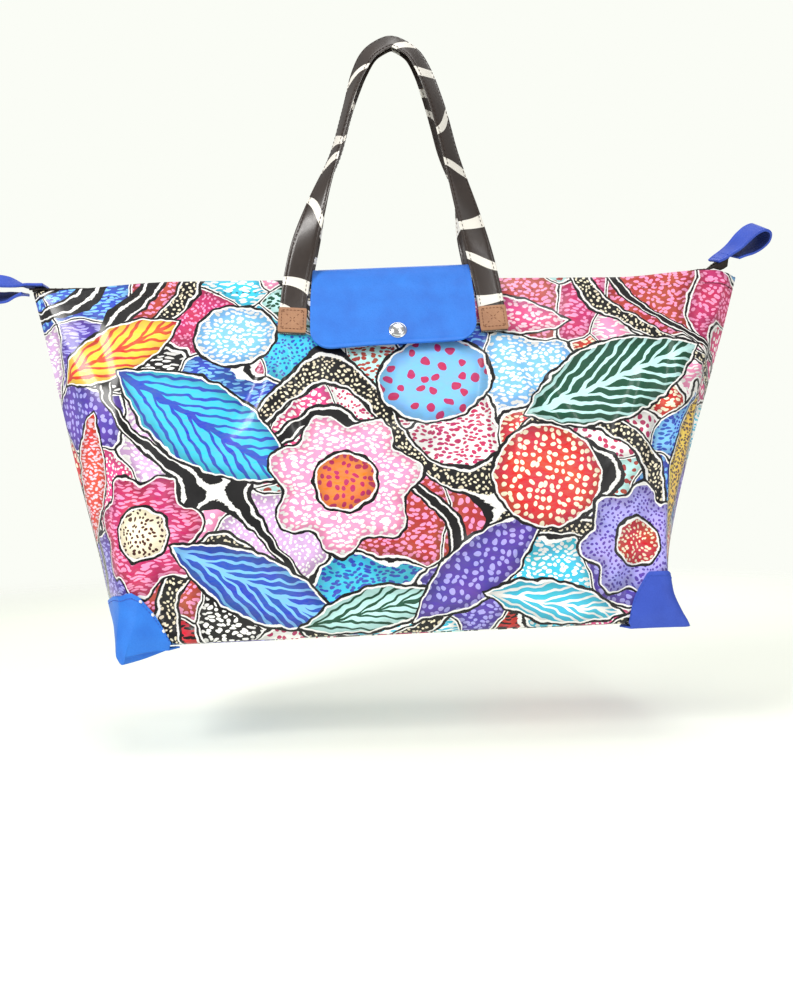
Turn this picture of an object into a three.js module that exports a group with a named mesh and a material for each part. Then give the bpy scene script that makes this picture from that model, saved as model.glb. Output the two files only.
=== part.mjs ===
// A soft zip-top weekend bag that hangs by its two handles.
// Millimetres, +Z up, front towards -Y. The origin is the point that it hangs from, under the handles.
import * as THREE from "three";

// Clearances between neighbouring pieces
const seamGap = 0.3;
const layGap = 0.5;

// Body
const hangShift = 5;
const rimZ = -188;
const baseZ = -470;
const canvasThickness = 1.6;
const baseThickness = 2;
const earDroop = { left: 10, right: 1 };
const earReach = 2.7;
const baseTilt = 4;
const rimEnds = { leftDip: 6, rightRise: 5.5 };

// One row for each level of the body, from the base (up 0) to the rim (up 1).
// seamX is the half length at the side seam, cornerX and cornerY are where the front turns
// into the side, frontY is the half depth at the middle, bend is the softness of that turn,
// sway is how far the two seams hang to the right.
const levels = [
  { up: 0.0, seamX: 226, cornerX: 217, cornerY: 74, frontY: 74, bend: 0.03, sway: 1 },
  { up: 0.04, seamX: 230, cornerX: 213, cornerY: 75, frontY: 79, bend: 0.04, sway: -2 },
  { up: 0.1, seamX: 233, cornerX: 209, cornerY: 74, frontY: 82, bend: 0.05, sway: -4 },
  { up: 0.22, seamX: 238, cornerX: 211, cornerY: 70, frontY: 81, bend: 0.06, sway: -6 },
  { up: 0.46, seamX: 254, cornerX: 222, cornerY: 58, frontY: 69, bend: 0.07, sway: -6 },
  { up: 0.7, seamX: 271, cornerX: 244, cornerY: 39, frontY: 47, bend: 0.07, sway: -3 },
  { up: 0.86, seamX: 282, cornerX: 263, cornerY: 22, frontY: 28, bend: 0.07, sway: -1 },
  { up: 1.0, seamX: 291, cornerX: 280, cornerY: 10, frontY: 13, bend: 0.08, sway: 0 },
];
const earShift = 5;

// Broad folds and dents of the front and back: middle, direction, size and height outwards.
// side is -1 on the front, 1 on the back.
const folds = [
  { side: -1, x: -84, up: 0.66, turn: 8, length: 110, width: 34, height: 4 },
  { side: -1, x: 84, up: 0.66, turn: -8, length: 110, width: 34, height: 4 },
  { side: -1, x: 0, up: 0.62, turn: 90, length: 120, width: 60, height: -4 },
  { side: -1, x: -168, up: 0.1, turn: -38, length: 70, width: 26, height: -7 },
  { side: -1, x: 176, up: 0.14, turn: 28, length: 90, width: 24, height: -7 },
  { side: -1, x: 214, up: 0.5, turn: 14, length: 120, width: 26, height: -5 },
  { side: -1, x: -222, up: 0.42, turn: -16, length: 100, width: 26, height: -5 },
  { side: 1, x: -84, up: 0.66, turn: 8, length: 110, width: 34, height: 4 },
  { side: 1, x: 84, up: 0.66, turn: -8, length: 110, width: 34, height: 4 },
  { side: 1, x: -170, up: 0.12, turn: -34, length: 80, width: 26, height: -6 },
  { side: 1, x: 170, up: 0.12, turn: 34, length: 80, width: 26, height: -6 },
];

// Handles: strap size, how far each leg and the crown turn from facing forward, and the half spread
// of the legs at each drop below the crown. Both straps lean the same way at the crown.
// strapTurns gives where the turn changes, as shares of the way from the crown to the end.
const strapWidth = 21.6;
const strapThickness = 3;
const strapTwist = { left: 69, crown: 44, right: 47 };
const strapCrown = 7;
const strapLean = { most: 4, from: 60, to: 170 };
const strapSideY = { crown: 4, leg: 12.5, apartBy: 55, offRim: 3, nearFrom: 40, nearBy: 180, lieBelow: 8 };
const strapTurns = { crownTo: 0.03, legBy: 0.28, fullTo: 0.36, flatBy: 0.82 };
const strapTaper = 0.4;
const strapSteps = 46;
const strapOff = 0.9;
const strapSpread = [
  { drop: 0, spread: 0 },
  { drop: 3.5, spread: 9.5 },
  { drop: 10, spread: 18 },
  { drop: 24, spread: 26 },
  { drop: 50, spread: 35 },
  { drop: 92, spread: 46.5 },
  { drop: 134, spread: 60 },
  { drop: 175, spread: 72 },
  { drop: 209.5, spread: 78.4 },
  { drop: 241.5, spread: 80.5 },
];
const endPatch = { width: 22.6, height: 23, thickness: 1.4, off: 0.35 };

// Flap over the zip, as its inner line from the back hem to the front edge.
// off is its distance from the body; a row without off has its own y.
const flapThickness = 2;
const flapSlant = { rise: 0.045, from: 52, to: 104 };
const flapHalfWidth = { front: 66, top: 62.5, back: 61 };
const flapRound = { front: 17, back: 6 };
const flapLine = [
  { side: 1, z: -243, off: 0.9 },
  { side: 1, z: -219, off: 0.9 },
  { side: 1, z: -195, off: 1.4 },
  { y: 10, z: -181.2 },
  { y: 0, z: -178.4 },
  { y: -10.5, z: -181.2 },
  { side: -1, z: -195, off: 2.3 },
  { side: -1, z: -219, off: 3.2 },
  { side: -1, z: -245, off: 4.6 },
];
const snap = { x: 3, z: -234, radius: 7.2, height: 3.4, studRadius: 5.4, studHeight: 2.1 };

// Zip: it lies below the rim and climbs over it at both ends
const zipRecess = 5;
const zipTail = { above: 2, inTab: 12 };
const tapeThickness = 1.2;
const tapeFlange = { deep: 8, slack: 0.25, from: 160, to: 200 };
const tapeTail = { deep: 6.5, from: 268, to: 279 };
const chainHalfWidth = 2.6;
const chainLow = 1.6;
const chainHigh = 1;
const slider = { x: -150, length: 13, pull: 24, width: 7, height: 3.6, pullHeight: 1.5 };

// Pull tabs at the zip ends: a strip folded into a loop, as its middle line
const tabWidth = 20;
const tabThickness = 2.2;
const tabTurn = { most: 33, from: 11, to: 34 };
const tabRoll = { before: 6, after: 8 };
const tabRoot = { share: 0.96, from: 4, to: 20 };
const tabSteps = 34;
const tabs = {
  left: { climbFrom: 205, climbTo: 262, start: 280, pitch: 1, roll: 0 },
  right: { climbFrom: 212, climbTo: 265, start: 273, pitch: 33, roll: 22 },
};
const tabLine = [
  { along: 0, high: 2.45 },
  { along: 12, high: 2.45 },
  { along: 21, high: 3.2 },
  { along: 31, high: 6.2 },
  { along: 40, high: 7.4 },
  { along: 47, high: 5.4 },
  { along: 50, high: 0 },
  { along: 47, high: -5.4 },
  { along: 40, high: -7.4 },
  { along: 31, high: -6.8 },
  { along: 23, high: -4.8 },
  { along: 16.5, high: -3.8 },
];

// Leather corners: how far they reach along the base, up the edge and under the base
const cornerCover = {
  thickness: 1.5, off: 1.2, below: 0.6, up: { left: 0.152, right: 0.155 }, under: 0.14, from: 7.5, to: 15.5,
  steps: 16, underRows: 3, wallRows: 6, edgeWide: 7, tongue: 42, tongueEnd: 0.08, sideDrop: 0.35,
  full: { left: 3, right: 13 },
};

const frontSteps = 9;
const bendSteps = 3;
const sideSteps = 4;
const quarterCount = frontSteps + bendSteps + sideSteps;
const ringCount = 4 * quarterCount;
const upRows = [0, 0.025, 0.06, 0.11, 0.18, 0.27, 0.38, 0.49, 0.6, 0.71, 0.81, 0.9, 0.96, 1];

const lerp = THREE.MathUtils.lerp;

// Eases from 0 at one value to 1 at another, either way round
function smooth(zeroAt, oneAt, value) {
  const t = THREE.MathUtils.clamp((value - zeroAt) / (oneAt - zeroAt), 0, 1);
  return t * t * (3 - 2 * t);
}

// A column of a table as a smooth curve of another column
function column(rows, at, key, value) {
  const last = rows.length - 1;
  let i = 0;
  while (i < last - 1 && value > rows[i + 1][at]) i += 1;
  const slope = (n) => {
    const a = rows[Math.max(0, n - 1)];
    const b = rows[Math.min(last, n + 1)];
    return (b[key] - a[key]) / (b[at] - a[at]);
  };
  const span = rows[i + 1][at] - rows[i][at];
  const t = THREE.MathUtils.clamp((value - rows[i][at]) / span, 0, 1);
  const start = (2 * t ** 3 - 3 * t ** 2 + 1) * rows[i][key] + (t ** 3 - 2 * t ** 2 + t) * span * slope(i);
  const end = (3 * t ** 2 - 2 * t ** 3) * rows[i + 1][key] + (t ** 3 - t ** 2) * span * slope(i + 1);
  return start + end;
}

function levelAt(up) {
  const level = {};
  for (const key of ["seamX", "cornerX", "cornerY", "frontY", "bend", "sway"]) {
    level[key] = column(levels, "up", key, up);
  }
  return level;
}

const frontDepth = (level, x) =>
  level.cornerY + (level.frontY - level.cornerY) * (1 - (x / level.cornerX) ** 2);

// Height of the rim above its middle: the left end hangs a little, the right end is pulled up
function rimLift(x) {
  if (x < 0) return -rimEnds.leftDip * smooth(170, 285, -x);
  return rimEnds.rightRise * smooth(185, 262, x) * (1 - 0.85 * smooth(268, 291, x));
}

// Height of the folds at a point of the front or back
function foldHeight(x, up, side) {
  let sum = 0;
  for (const fold of folds) {
    if (fold.side !== side) continue;
    const turn = THREE.MathUtils.degToRad(fold.turn);
    const dx = x - fold.x;
    const dz = (up - fold.up) * (rimZ - baseZ);
    const along = dx * Math.sin(turn) + dz * Math.cos(turn);
    const across = dx * Math.cos(turn) - dz * Math.sin(turn);
    sum += fold.height * Math.exp(-((along / fold.length) ** 2) * 2 - (across / fold.width) ** 2 * 2);
  }
  return sum * smooth(0, 0.06, up) * smooth(1, 0.93, up);
}

// A quarter of one level, from the middle of the front to the side seam
function quarterProfile(level) {
  const onFront = (share) => {
    const x = share * level.cornerX;
    return new THREE.Vector2(x, frontDepth(level, x));
  };
  const corner = onFront(1);
  const seam = new THREE.Vector2(level.seamX, 0);
  const bendStart = onFront(1 - level.bend);
  const bendEnd = corner.clone().lerp(seam, 2.2 * level.bend);
  const turn = new THREE.QuadraticBezierCurve(bendStart, corner, bendEnd);
  const points = [];
  for (let i = 0; i <= frontSteps; i++) points.push(onFront(((1 - level.bend) * i) / frontSteps));
  for (let i = 1; i <= bendSteps; i++) points.push(turn.getPoint(i / bendSteps));
  for (let i = 1; i <= sideSteps; i++) points.push(bendEnd.clone().lerp(seam, i / sideSteps));
  return points;
}

// Which quarter a place on the ring is in: 0 is the left seam, then front, right seam, back
function placeOnRing(k) {
  const n = ((k % ringCount) + ringCount) % ringCount;
  const part = Math.floor(n / quarterCount);
  const rest = n - part * quarterCount;
  const index = part % 2 === 0 ? quarterCount - rest : rest;
  return { index, sideX: part === 1 || part === 2 ? 1 : -1, sideY: part < 2 ? -1 : 1 };
}

// Unit vector that points out of the ring at a corner, and how far a mitre goes along it
function ringMitre(points, k) {
  const before = points[(k + ringCount - 1) % ringCount];
  const here = points[k];
  const after = points[(k + 1) % ringCount];
  const first = here.clone().sub(before).normalize();
  const second = after.clone().sub(here).normalize();
  const firstOut = new THREE.Vector2(first.y, -first.x);
  const out = firstOut.clone().add(new THREE.Vector2(second.y, -second.x)).normalize();
  return out.divideScalar(Math.max(0.45, out.dot(firstOut)));
}

const ringStore = new Map();

// The ring of the body at one level, moved inwards by inset
function ringAt(up, inset) {
  const key = up.toFixed(5) + " " + inset.toFixed(4);
  if (ringStore.has(key)) return ringStore.get(key);
  const level = levelAt(up);
  const quarter = quarterProfile(level);
  const nearEar = (place) => {
    const away = Math.abs(place.index - frontSteps - bendSteps / 2);
    return 0.5 + 0.5 * Math.cos(Math.PI * Math.min(1, away / earReach));
  };
  const plain = [];
  for (let k = 0; k < ringCount; k++) {
    const place = placeOnRing(k);
    const p = quarter[place.index];
    const sway = level.sway * smooth(frontSteps - 3, quarterCount, place.index);
    const ear = earShift * nearEar(place) * (1 - up) ** 7;
    plain.push(new THREE.Vector2(place.sideX * p.x + sway + ear, place.sideY * p.y));
  }
  const folded = plain.map((p, k) => {
    const place = placeOnRing(k);
    const share = smooth(quarterCount, quarterCount - 3, place.index);
    const height = foldHeight(p.x, up, place.sideY) * share;
    return p.clone().addScaledVector(ringMitre(plain, k), height);
  });
  const ring = folded.map((p, k) => {
    const place = placeOnRing(k);
    const moved = p.clone().addScaledVector(ringMitre(folded, k), -inset);
    const droop = (place.sideX < 0 ? earDroop.left : earDroop.right) * nearEar(place);
    const low = (baseTilt * p.x) / levels[0].cornerX - droop;
    const z = lerp(baseZ, rimZ, up) + low * (1 - up) ** 6 + rimLift(p.x) * up ** 6;
    return new THREE.Vector3(moved.x, moved.y, z);
  });
  ringStore.set(key, ring);
  return ring;
}

// A point of the faceted body wall: level, place on the ring, inset
function wallAt(up, k, inset) {
  let row = 0;
  while (row < upRows.length - 2 && up > upRows[row + 1]) row += 1;
  const t = (up - upRows[row]) / (upRows[row + 1] - upRows[row]);
  const low = Math.floor(k);
  const onRow = (u) => {
    const ring = ringAt(u, inset);
    const a = ring[((low % ringCount) + ringCount) % ringCount];
    const b = ring[(((low + 1) % ringCount) + ringCount) % ringCount];
    return a.clone().lerp(b, k - low);
  };
  return onRow(upRows[row]).lerp(onRow(upRows[row + 1]), t);
}

// Half depth of the body at a place on its front or back
function depthAt(x, z, side) {
  const up = (z - baseZ) / (rimZ - baseZ);
  const level = levelAt(THREE.MathUtils.clamp(up, 0, 1));
  return frontDepth(level, x) + foldHeight(x, up, side);
}

// A three.js geometry with each vertex moved by a function, its faces turned outwards
function mapped(geometry, place) {
  const at = geometry.getAttribute("position");
  const v = new THREE.Vector3();
  for (let i = 0; i < at.count; i++) {
    const p = place(v.fromBufferAttribute(at, i).clone());
    at.setXYZ(i, p.x, p.y, p.z);
  }
  const flat = geometry.index ? geometry.toNonIndexed() : geometry;
  const xyz = flat.getAttribute("position");
  const [a, b, c] = [new THREE.Vector3(), new THREE.Vector3(), new THREE.Vector3()];
  let volume = 0;
  for (let i = 0; i < xyz.count; i += 3) {
    a.fromBufferAttribute(xyz, i);
    b.fromBufferAttribute(xyz, i + 1);
    c.fromBufferAttribute(xyz, i + 2);
    volume += a.dot(b.cross(c));
  }
  if (volume < 0) {
    for (let i = 0; i < xyz.count; i += 3) {
      b.fromBufferAttribute(xyz, i + 1);
      c.fromBufferAttribute(xyz, i + 2);
      xyz.setXYZ(i + 1, c.x, c.y, c.z);
      xyz.setXYZ(i + 2, b.x, b.y, b.z);
    }
  }
  flat.computeVertexNormals();
  return flat;
}

// A sheet: across and along go from 0 to 1, layer is 0 on the inside and 1 on the outside
function sheet(acrossSteps, alongSteps, place) {
  const block = new THREE.BoxGeometry(1, 1, 1, acrossSteps, alongSteps, 1);
  return mapped(block, (p) => place(p.x + 0.5, p.y + 0.5, p.z + 0.5));
}

const finishes = {
  print: { color: 0xc8648c, roughness: 0.35, metalness: 0 },
  blueLeather: { color: 0x2f57c4, roughness: 0.45, metalness: 0 },
  strap: { color: 0x2a2320, roughness: 0.3, metalness: 0 },
  brownLeather: { color: 0x8a5a3c, roughness: 0.5, metalness: 0 },
  zipTape: { color: 0x2b2422, roughness: 0.8, metalness: 0 },
  darkMetal: { color: 0x55504a, roughness: 0.35, metalness: 1 },
  silver: { color: 0xd6d8da, roughness: 0.2, metalness: 1 },
};

const bag = new THREE.Group();
bag.name = "weekend_bag";
const body = new THREE.Group();
body.name = "body";
body.position.x = -hangShift;
bag.add(body);

function piece(parent, name, geometry, finish) {
  const made = new THREE.Mesh(geometry, new THREE.MeshStandardMaterial(finishes[finish]));
  made.name = name;
  parent.add(made);
  return made;
}

// Front and back panels
function panel(side) {
  const first = side < 0 ? 0 : 2 * quarterCount;
  return sheet(2 * quarterCount, upRows.length - 1, (across, along, layer) => {
    const row = Math.round(along * (upRows.length - 1));
    const k = first + Math.round(across * 2 * quarterCount);
    const p = wallAt(upRows[row], k, (1 - layer) * canvasThickness);
    if (side * p.y < seamGap / 2) p.y = (side * seamGap) / 2;
    return p;
  });
}
piece(body, "front_panel", panel(-1), "print");
piece(body, "back_panel", panel(1), "print");

// Base panel, flat inside its rim
const baseFlat = 0.84;
function baseHeight(rim, share) {
  const plane = baseZ + (baseTilt * rim.x * share) / levels[0].cornerX;
  const edge = THREE.MathUtils.clamp((share - baseFlat) / (1 - baseFlat), 0, 1);
  return lerp(plane, rim.z, edge);
}
const baseProfile = [
  new THREE.Vector2(0, 0),
  new THREE.Vector2(baseFlat, 0),
  new THREE.Vector2(1, 0),
  new THREE.Vector2(1, 1),
  new THREE.Vector2(baseFlat, 1),
  new THREE.Vector2(0, 1),
];
const basePanel = mapped(new THREE.LatheGeometry(baseProfile, ringCount), (p) => {
  const share = Math.hypot(p.x, p.z);
  const k = Math.round((Math.atan2(p.x, p.z) / (2 * Math.PI)) * ringCount);
  const rim = wallAt(0, k, canvasThickness + seamGap);
  const edge = wallAt((p.y * baseThickness) / (rimZ - baseZ), k, canvasThickness + layGap);
  const z = baseHeight(rim, share);
  return new THREE.Vector3(edge.x * share, edge.y * share, z + p.y * baseThickness);
});
piece(body, "base_panel", basePanel, "print");

// Height of a leather cover along the front: full near the edge, then falling straight to its tongue's end
function tongueShare(index, full) {
  const { edgeWide, tongue, tongueEnd, from } = cornerCover;
  const onEdge = Math.max(0, index - frontSteps) / (bendSteps / 2);
  const onFront = Math.max(0, frontSteps - index) / (frontSteps - from);
  const distance = edgeWide * (1 - onEdge) + (tongue - edgeWide) * onFront;
  return lerp(1, tongueEnd, Math.max(0, distance - full) / (tongue - full));
}

// Leather covers over the four base corners
function cornerPiece(sideX, sideY) {
  const { from, to, thickness, steps, underRows, wallRows } = cornerCover;
  const middle = frontSteps + bendSteps / 2;
  const hand = sideX < 0 ? "left" : "right";
  const high = cornerCover.up[hand];
  return sheet(steps, underRows + 1 + wallRows, (across, along, layer) => {
    const index = lerp(from, to, across);
    const reach = index < middle ? (middle - index) / (middle - from) : (index - middle) / (to - middle);
    const share = index < middle ? tongueShare(index, cornerCover.full[hand]) : 1 - cornerCover.sideDrop * reach;
    const inside = index < middle ? share : 0.15 + 0.85 * (1 - reach);
    const quarter = sideX < 0 ? (sideY < 0 ? 0 : 3) : sideY < 0 ? 1 : 2;
    const forward = quarter % 2 === 1;
    const k = quarter * quarterCount + (forward ? index : quarterCount - index);
    const out = cornerCover.off + layer * thickness;
    const row = Math.round(along * (underRows + 1 + wallRows));
    if (row > underRows) {
      const rise = (row - underRows - 1) / wallRows;
      const p = wallAt(high * share * rise, k, -out);
      if (rise === 0) p.z -= out + cornerCover.below;
      return p;
    }
    const inward = 1 - cornerCover.under * inside * (1 - row / underRows);
    const rim = wallAt(0, k, canvasThickness + seamGap);
    const z = baseHeight(rim, inward);
    return new THREE.Vector3(rim.x * inward, rim.y * inward, z - out - cornerCover.below);
  });
}
for (const [nameY, sideY] of [["front", -1], ["back", 1]]) {
  for (const [nameX, sideX] of [["left", -1], ["right", 1]]) {
    piece(body, `corner_${nameY}_${nameX}`, cornerPiece(sideX, sideY), "blueLeather");
  }
}

// Handles: a line up one leg, over the crown and down the other
function strapLine(side) {
  const points = [];
  const legPoint = (row, sideX) => {
    const z = strapCrown - row.drop;
    const x = sideX * row.spread;
    const onBody = depthAt(x, z, side) + strapOff + strapThickness / 2;
    const apart = lerp(strapSideY.crown, strapSideY.leg, smooth(0, strapSideY.apartBy, row.drop));
    const atRim = depthAt(x, rimZ, side) + strapSideY.offRim;
    const free = lerp(apart, atRim, smooth(strapSideY.nearFrom, strapSideY.nearBy, row.drop));
    const y = z > rimZ + strapSideY.lieBelow ? free : Math.max(free, onBody);
    return new THREE.Vector3(x + strapLean.most * smooth(strapLean.to, strapLean.from, row.drop), side * y, z);
  };
  for (const row of [...strapSpread].reverse()) points.push(legPoint(row, -1));
  for (const row of strapSpread.slice(1)) points.push(legPoint(row, 1));
  return new THREE.CatmullRomCurve3(points, false, "centripetal");
}

// Place, direction, outward face and width direction of a strap at a share of its length
function strapFrame(line, side, share) {
  const at = line.getPointAt(share);
  const along = line.getTangentAt(share);
  const out = new THREE.Vector3(0, side, 0);
  out.addScaledVector(along, -out.dot(along)).normalize();
  const across = along.clone().cross(out);
  const fromCrown = Math.abs(share - 0.5) * 2;
  const leg = share < 0.5 ? strapTwist.left : strapTwist.right;
  const leaning = lerp(strapTwist.crown, leg, smooth(strapTurns.crownTo, strapTurns.legBy, fromCrown));
  const most = side < 0 ? leaning : 180 - leaning;
  const turn = THREE.MathUtils.degToRad(most * smooth(strapTurns.flatBy, strapTurns.fullTo, fromCrown)) * side;
  const face = out.clone().multiplyScalar(Math.cos(turn)).addScaledVector(across, Math.sin(turn));
  return { at, along, face, width: along.clone().cross(face) };
}

function strap(side) {
  const line = strapLine(side);
  line.arcLengthDivisions = 400;
  return sheet(2, strapSteps, (across, along, layer) => {
    const frame = strapFrame(line, side, along);
    const edge = 2 * across - 1;
    const half = (strapThickness / 2) * (1 - strapTaper * edge ** 2);
    const p = frame.at.clone();
    p.addScaledVector(frame.width, (edge * strapWidth) / 2);
    return p.addScaledVector(frame.face, (2 * layer - 1) * half);
  });
}

// Patches sewn over the four strap ends
function strapEnd(side, sideX) {
  const line = strapLine(side);
  line.arcLengthDivisions = 400;
  const reach = endPatch.height / line.getLength();
  return sheet(1, 3, (across, along, layer) => {
    const share = sideX < 0 ? along * reach : 1 - along * reach;
    const frame = strapFrame(line, side, share);
    const p = frame.at.clone();
    p.addScaledVector(frame.width, (across - 0.5) * endPatch.width);
    const off = strapThickness / 2 + endPatch.off + layer * endPatch.thickness;
    return p.addScaledVector(frame.face, off);
  });
}
for (const [nameY, side] of [["front", -1], ["back", 1]]) {
  piece(body, `handle_${nameY}`, strap(side), "strap");
  for (const [nameX, sideX] of [["left", -1], ["right", 1]]) {
    piece(body, `handle_end_${nameY}_${nameX}`, strapEnd(side, sideX), "brownLeather");
  }
}

// Flap
const flapPoints = flapLine.map((row) => {
  if (!row.side) return new THREE.Vector3(0, row.y, row.z);
  const under = [-1, -0.5, 0, 0.5, 1].map((share) => depthAt(share * flapHalfWidth.front, row.z, row.side));
  return new THREE.Vector3(0, row.side * (Math.max(...under) + row.off), row.z);
});
const flapCurve = new THREE.CatmullRomCurve3(flapPoints, false, "centripetal");
const flapLength = flapCurve.getLength();
const flapRows = [0, 2, 6, 14, 26, 38, 48, 55, 61, 67, 73, 79, 86, 94, 104, 116];
const flapEnds = [17, 11, 6, 2.5, 0.7, 0];
const flapStations = [...flapRows, ...flapEnds.map((left) => flapLength - left)];

function flapFrame(distance) {
  const share = THREE.MathUtils.clamp(distance / flapLength, 0, 1);
  const at = flapCurve.getPointAt(share);
  const along = flapCurve.getTangentAt(share);
  return { at, along, out: new THREE.Vector3(0, -along.z, along.y).multiplyScalar(-1) };
}

function flapWidthAt(distance) {
  const left = flapLength - distance;
  const towardsFront = smooth(60, 130, distance);
  const towardsBack = smooth(60, 10, distance);
  let half = lerp(flapHalfWidth.top, flapHalfWidth.front, towardsFront);
  half = lerp(half, flapHalfWidth.back, towardsBack);
  const rounded = (gone, radius) =>
    gone < radius ? radius - Math.sqrt(radius ** 2 - (radius - gone) ** 2) : 0;
  return half - rounded(left, flapRound.front) - rounded(distance, flapRound.back);
}

const flapSheet = sheet(8, flapStations.length - 1, (across, along, layer) => {
  const distance = flapStations[Math.round(along * (flapStations.length - 1))];
  const frame = flapFrame(distance);
  const p = frame.at.clone().addScaledVector(frame.out, layer * flapThickness);
  p.x += (2 * across - 1) * flapWidthAt(distance);
  p.z += p.x * flapSlant.rise * smooth(flapSlant.from, flapSlant.to, distance);
  return p;
});
piece(body, "flap", flapSheet, "blueLeather");

// Snap: the cap on the flap and the plain stud under it
function flapDistanceAtZ(z) {
  let best = flapLength;
  for (let d = flapLength * 0.6; d < flapLength; d += 0.5) {
    if (Math.abs(flapFrame(d).at.z - z) < Math.abs(flapFrame(best).at.z - z)) best = d;
  }
  return best;
}
const snapFrame = flapFrame(flapDistanceAtZ(snap.z));
function turned(profile, off) {
  const lathe = new THREE.LatheGeometry(profile, 20);
  const turn = new THREE.Quaternion().setFromUnitVectors(new THREE.Vector3(0, 1, 0), snapFrame.out);
  return mapped(lathe, (p) => {
    const q = p.applyQuaternion(turn).add(snapFrame.at).addScaledVector(snapFrame.out, off);
    q.x += snap.x;
    return q;
  });
}
const capProfile = [
  new THREE.Vector2(0, 0),
  new THREE.Vector2(snap.radius - 0.4, 0),
  new THREE.Vector2(snap.radius, 0.5),
  new THREE.Vector2(snap.radius * 0.9, snap.height * 0.45),
  new THREE.Vector2(snap.radius * 0.6, snap.height * 0.82),
  new THREE.Vector2(0, snap.height),
];
const studProfile = [
  new THREE.Vector2(0, 0),
  new THREE.Vector2(snap.studRadius, 0),
  new THREE.Vector2(snap.studRadius, snap.studHeight),
  new THREE.Vector2(0, snap.studHeight),
];
piece(body, "snap_cap", turned(capProfile, flapThickness + seamGap), "silver");
piece(body, "snap_stud", turned(studProfile, -seamGap - snap.studHeight), "silver");

// Zip
const rimInside = ringAt(1, canvasThickness);
function mouthHalf(x) {
  for (let k = quarterCount; k < 2 * quarterCount; k++) {
    const a = rimInside[k];
    const b = rimInside[k + 1];
    if (a.x <= x && x <= b.x) return -lerp(a.y, b.y, (x - a.x) / (b.x - a.x));
  }
  return 0;
}

// Top of the zip tape along the bag
function zipTop(x) {
  const reach = Math.abs(x);
  const tab = x < 0 ? tabs.left : tabs.right;
  const flat = Math.min(reach, tab.climbTo) * Math.sign(x);
  const climbed = lerp(-zipRecess, zipTail.above, smooth(tab.climbFrom, tab.climbTo, reach));
  const slope = Math.tan(THREE.MathUtils.degToRad(tab.pitch));
  return rimZ + rimLift(flat) + climbed + Math.max(0, reach - tab.climbTo) * slope;
}

// The right tail of the zip rolls a little towards the front as it leaves the bag
const rollAt = (tab, reach) =>
  tab.roll * smooth(tab.climbTo - tabRoll.before, tab.start + tabRoll.after, reach);

function rolled(p) {
  const tab = p.x < 0 ? tabs.left : tabs.right;
  const turn = THREE.MathUtils.degToRad(rollAt(tab, Math.abs(p.x)));
  const top = zipTop(p.x);
  const up = p.z - top;
  const y = p.y * Math.cos(turn) - up * Math.sin(turn);
  return new THREE.Vector3(p.x, y, top + p.y * Math.sin(turn) + up * Math.cos(turn));
}
const tailLength = (tab) => zipTail.inTab * Math.cos(THREE.MathUtils.degToRad(tab.pitch));
const zipStart = -tabs.left.start - tailLength(tabs.left);
const zipEnd = tabs.right.start + tailLength(tabs.right);
const tapeOut = (x) => {
  const tab = x < 0 ? tabs.left : tabs.right;
  return mouthHalf(Math.min(Math.abs(x), tab.climbTo - 2)) - seamGap;
};

const zipSteps = 48;
function zipTape(side) {
  return sheet(2, zipSteps, (across, along, layer) => {
    const x = lerp(zipStart, zipEnd, along);
    const top = zipTop(x);
    const hang = tapeFlange.deep * smooth(tapeFlange.to, tapeFlange.from, Math.abs(x));
    const tail = tapeTail.deep * smooth(tapeTail.from, tapeTail.to, x);
    const flange = tapeThickness + tapeFlange.slack + hang + tail;
    const outer = tapeOut(x);
    const inner = chainHalfWidth + seamGap;
    const thick = (1 - layer) * tapeThickness;
    if (across < 0.25) return rolled(new THREE.Vector3(x, side * (outer - thick), top - flange));
    if (across < 0.75) return rolled(new THREE.Vector3(x, side * (outer - thick), top - thick));
    return rolled(new THREE.Vector3(x, side * inner, top - thick));
  });
}
piece(body, "zip_tape_front", zipTape(-1), "zipTape");
piece(body, "zip_tape_back", zipTape(1), "zipTape");
const zipChain = sheet(1, zipSteps, (across, along, layer) => {
  const x = lerp(zipStart, zipEnd, along);
  const z = zipTop(x) + lerp(-chainLow, chainHigh, layer);
  return rolled(new THREE.Vector3(x, (2 * across - 1) * chainHalfWidth, z));
});
piece(body, "zip_chain", zipChain, "darkMetal");

// Slider with its pull lying along the zip
const sliderShape = new THREE.Shape();
sliderShape.moveTo(0, 0);
sliderShape.lineTo(slider.length + slider.pull, 0);
sliderShape.lineTo(slider.length + slider.pull, slider.pullHeight);
sliderShape.lineTo(slider.length, slider.pullHeight);
sliderShape.lineTo(slider.length - 1.5, slider.height);
sliderShape.lineTo(1.5, slider.height);
sliderShape.lineTo(0, slider.height * 0.6);
const sliderBlock = new THREE.ExtrudeGeometry(sliderShape, { depth: slider.width, bevelEnabled: false });
const sliderZ = rimZ - zipRecess + chainHigh + seamGap;
const sliderGeometry = mapped(
  sliderBlock,
  (p) => new THREE.Vector3(slider.x + p.x, p.z - slider.width / 2, sliderZ + p.y),
);
piece(body, "zip_slider", sliderGeometry, "darkMetal");

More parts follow.
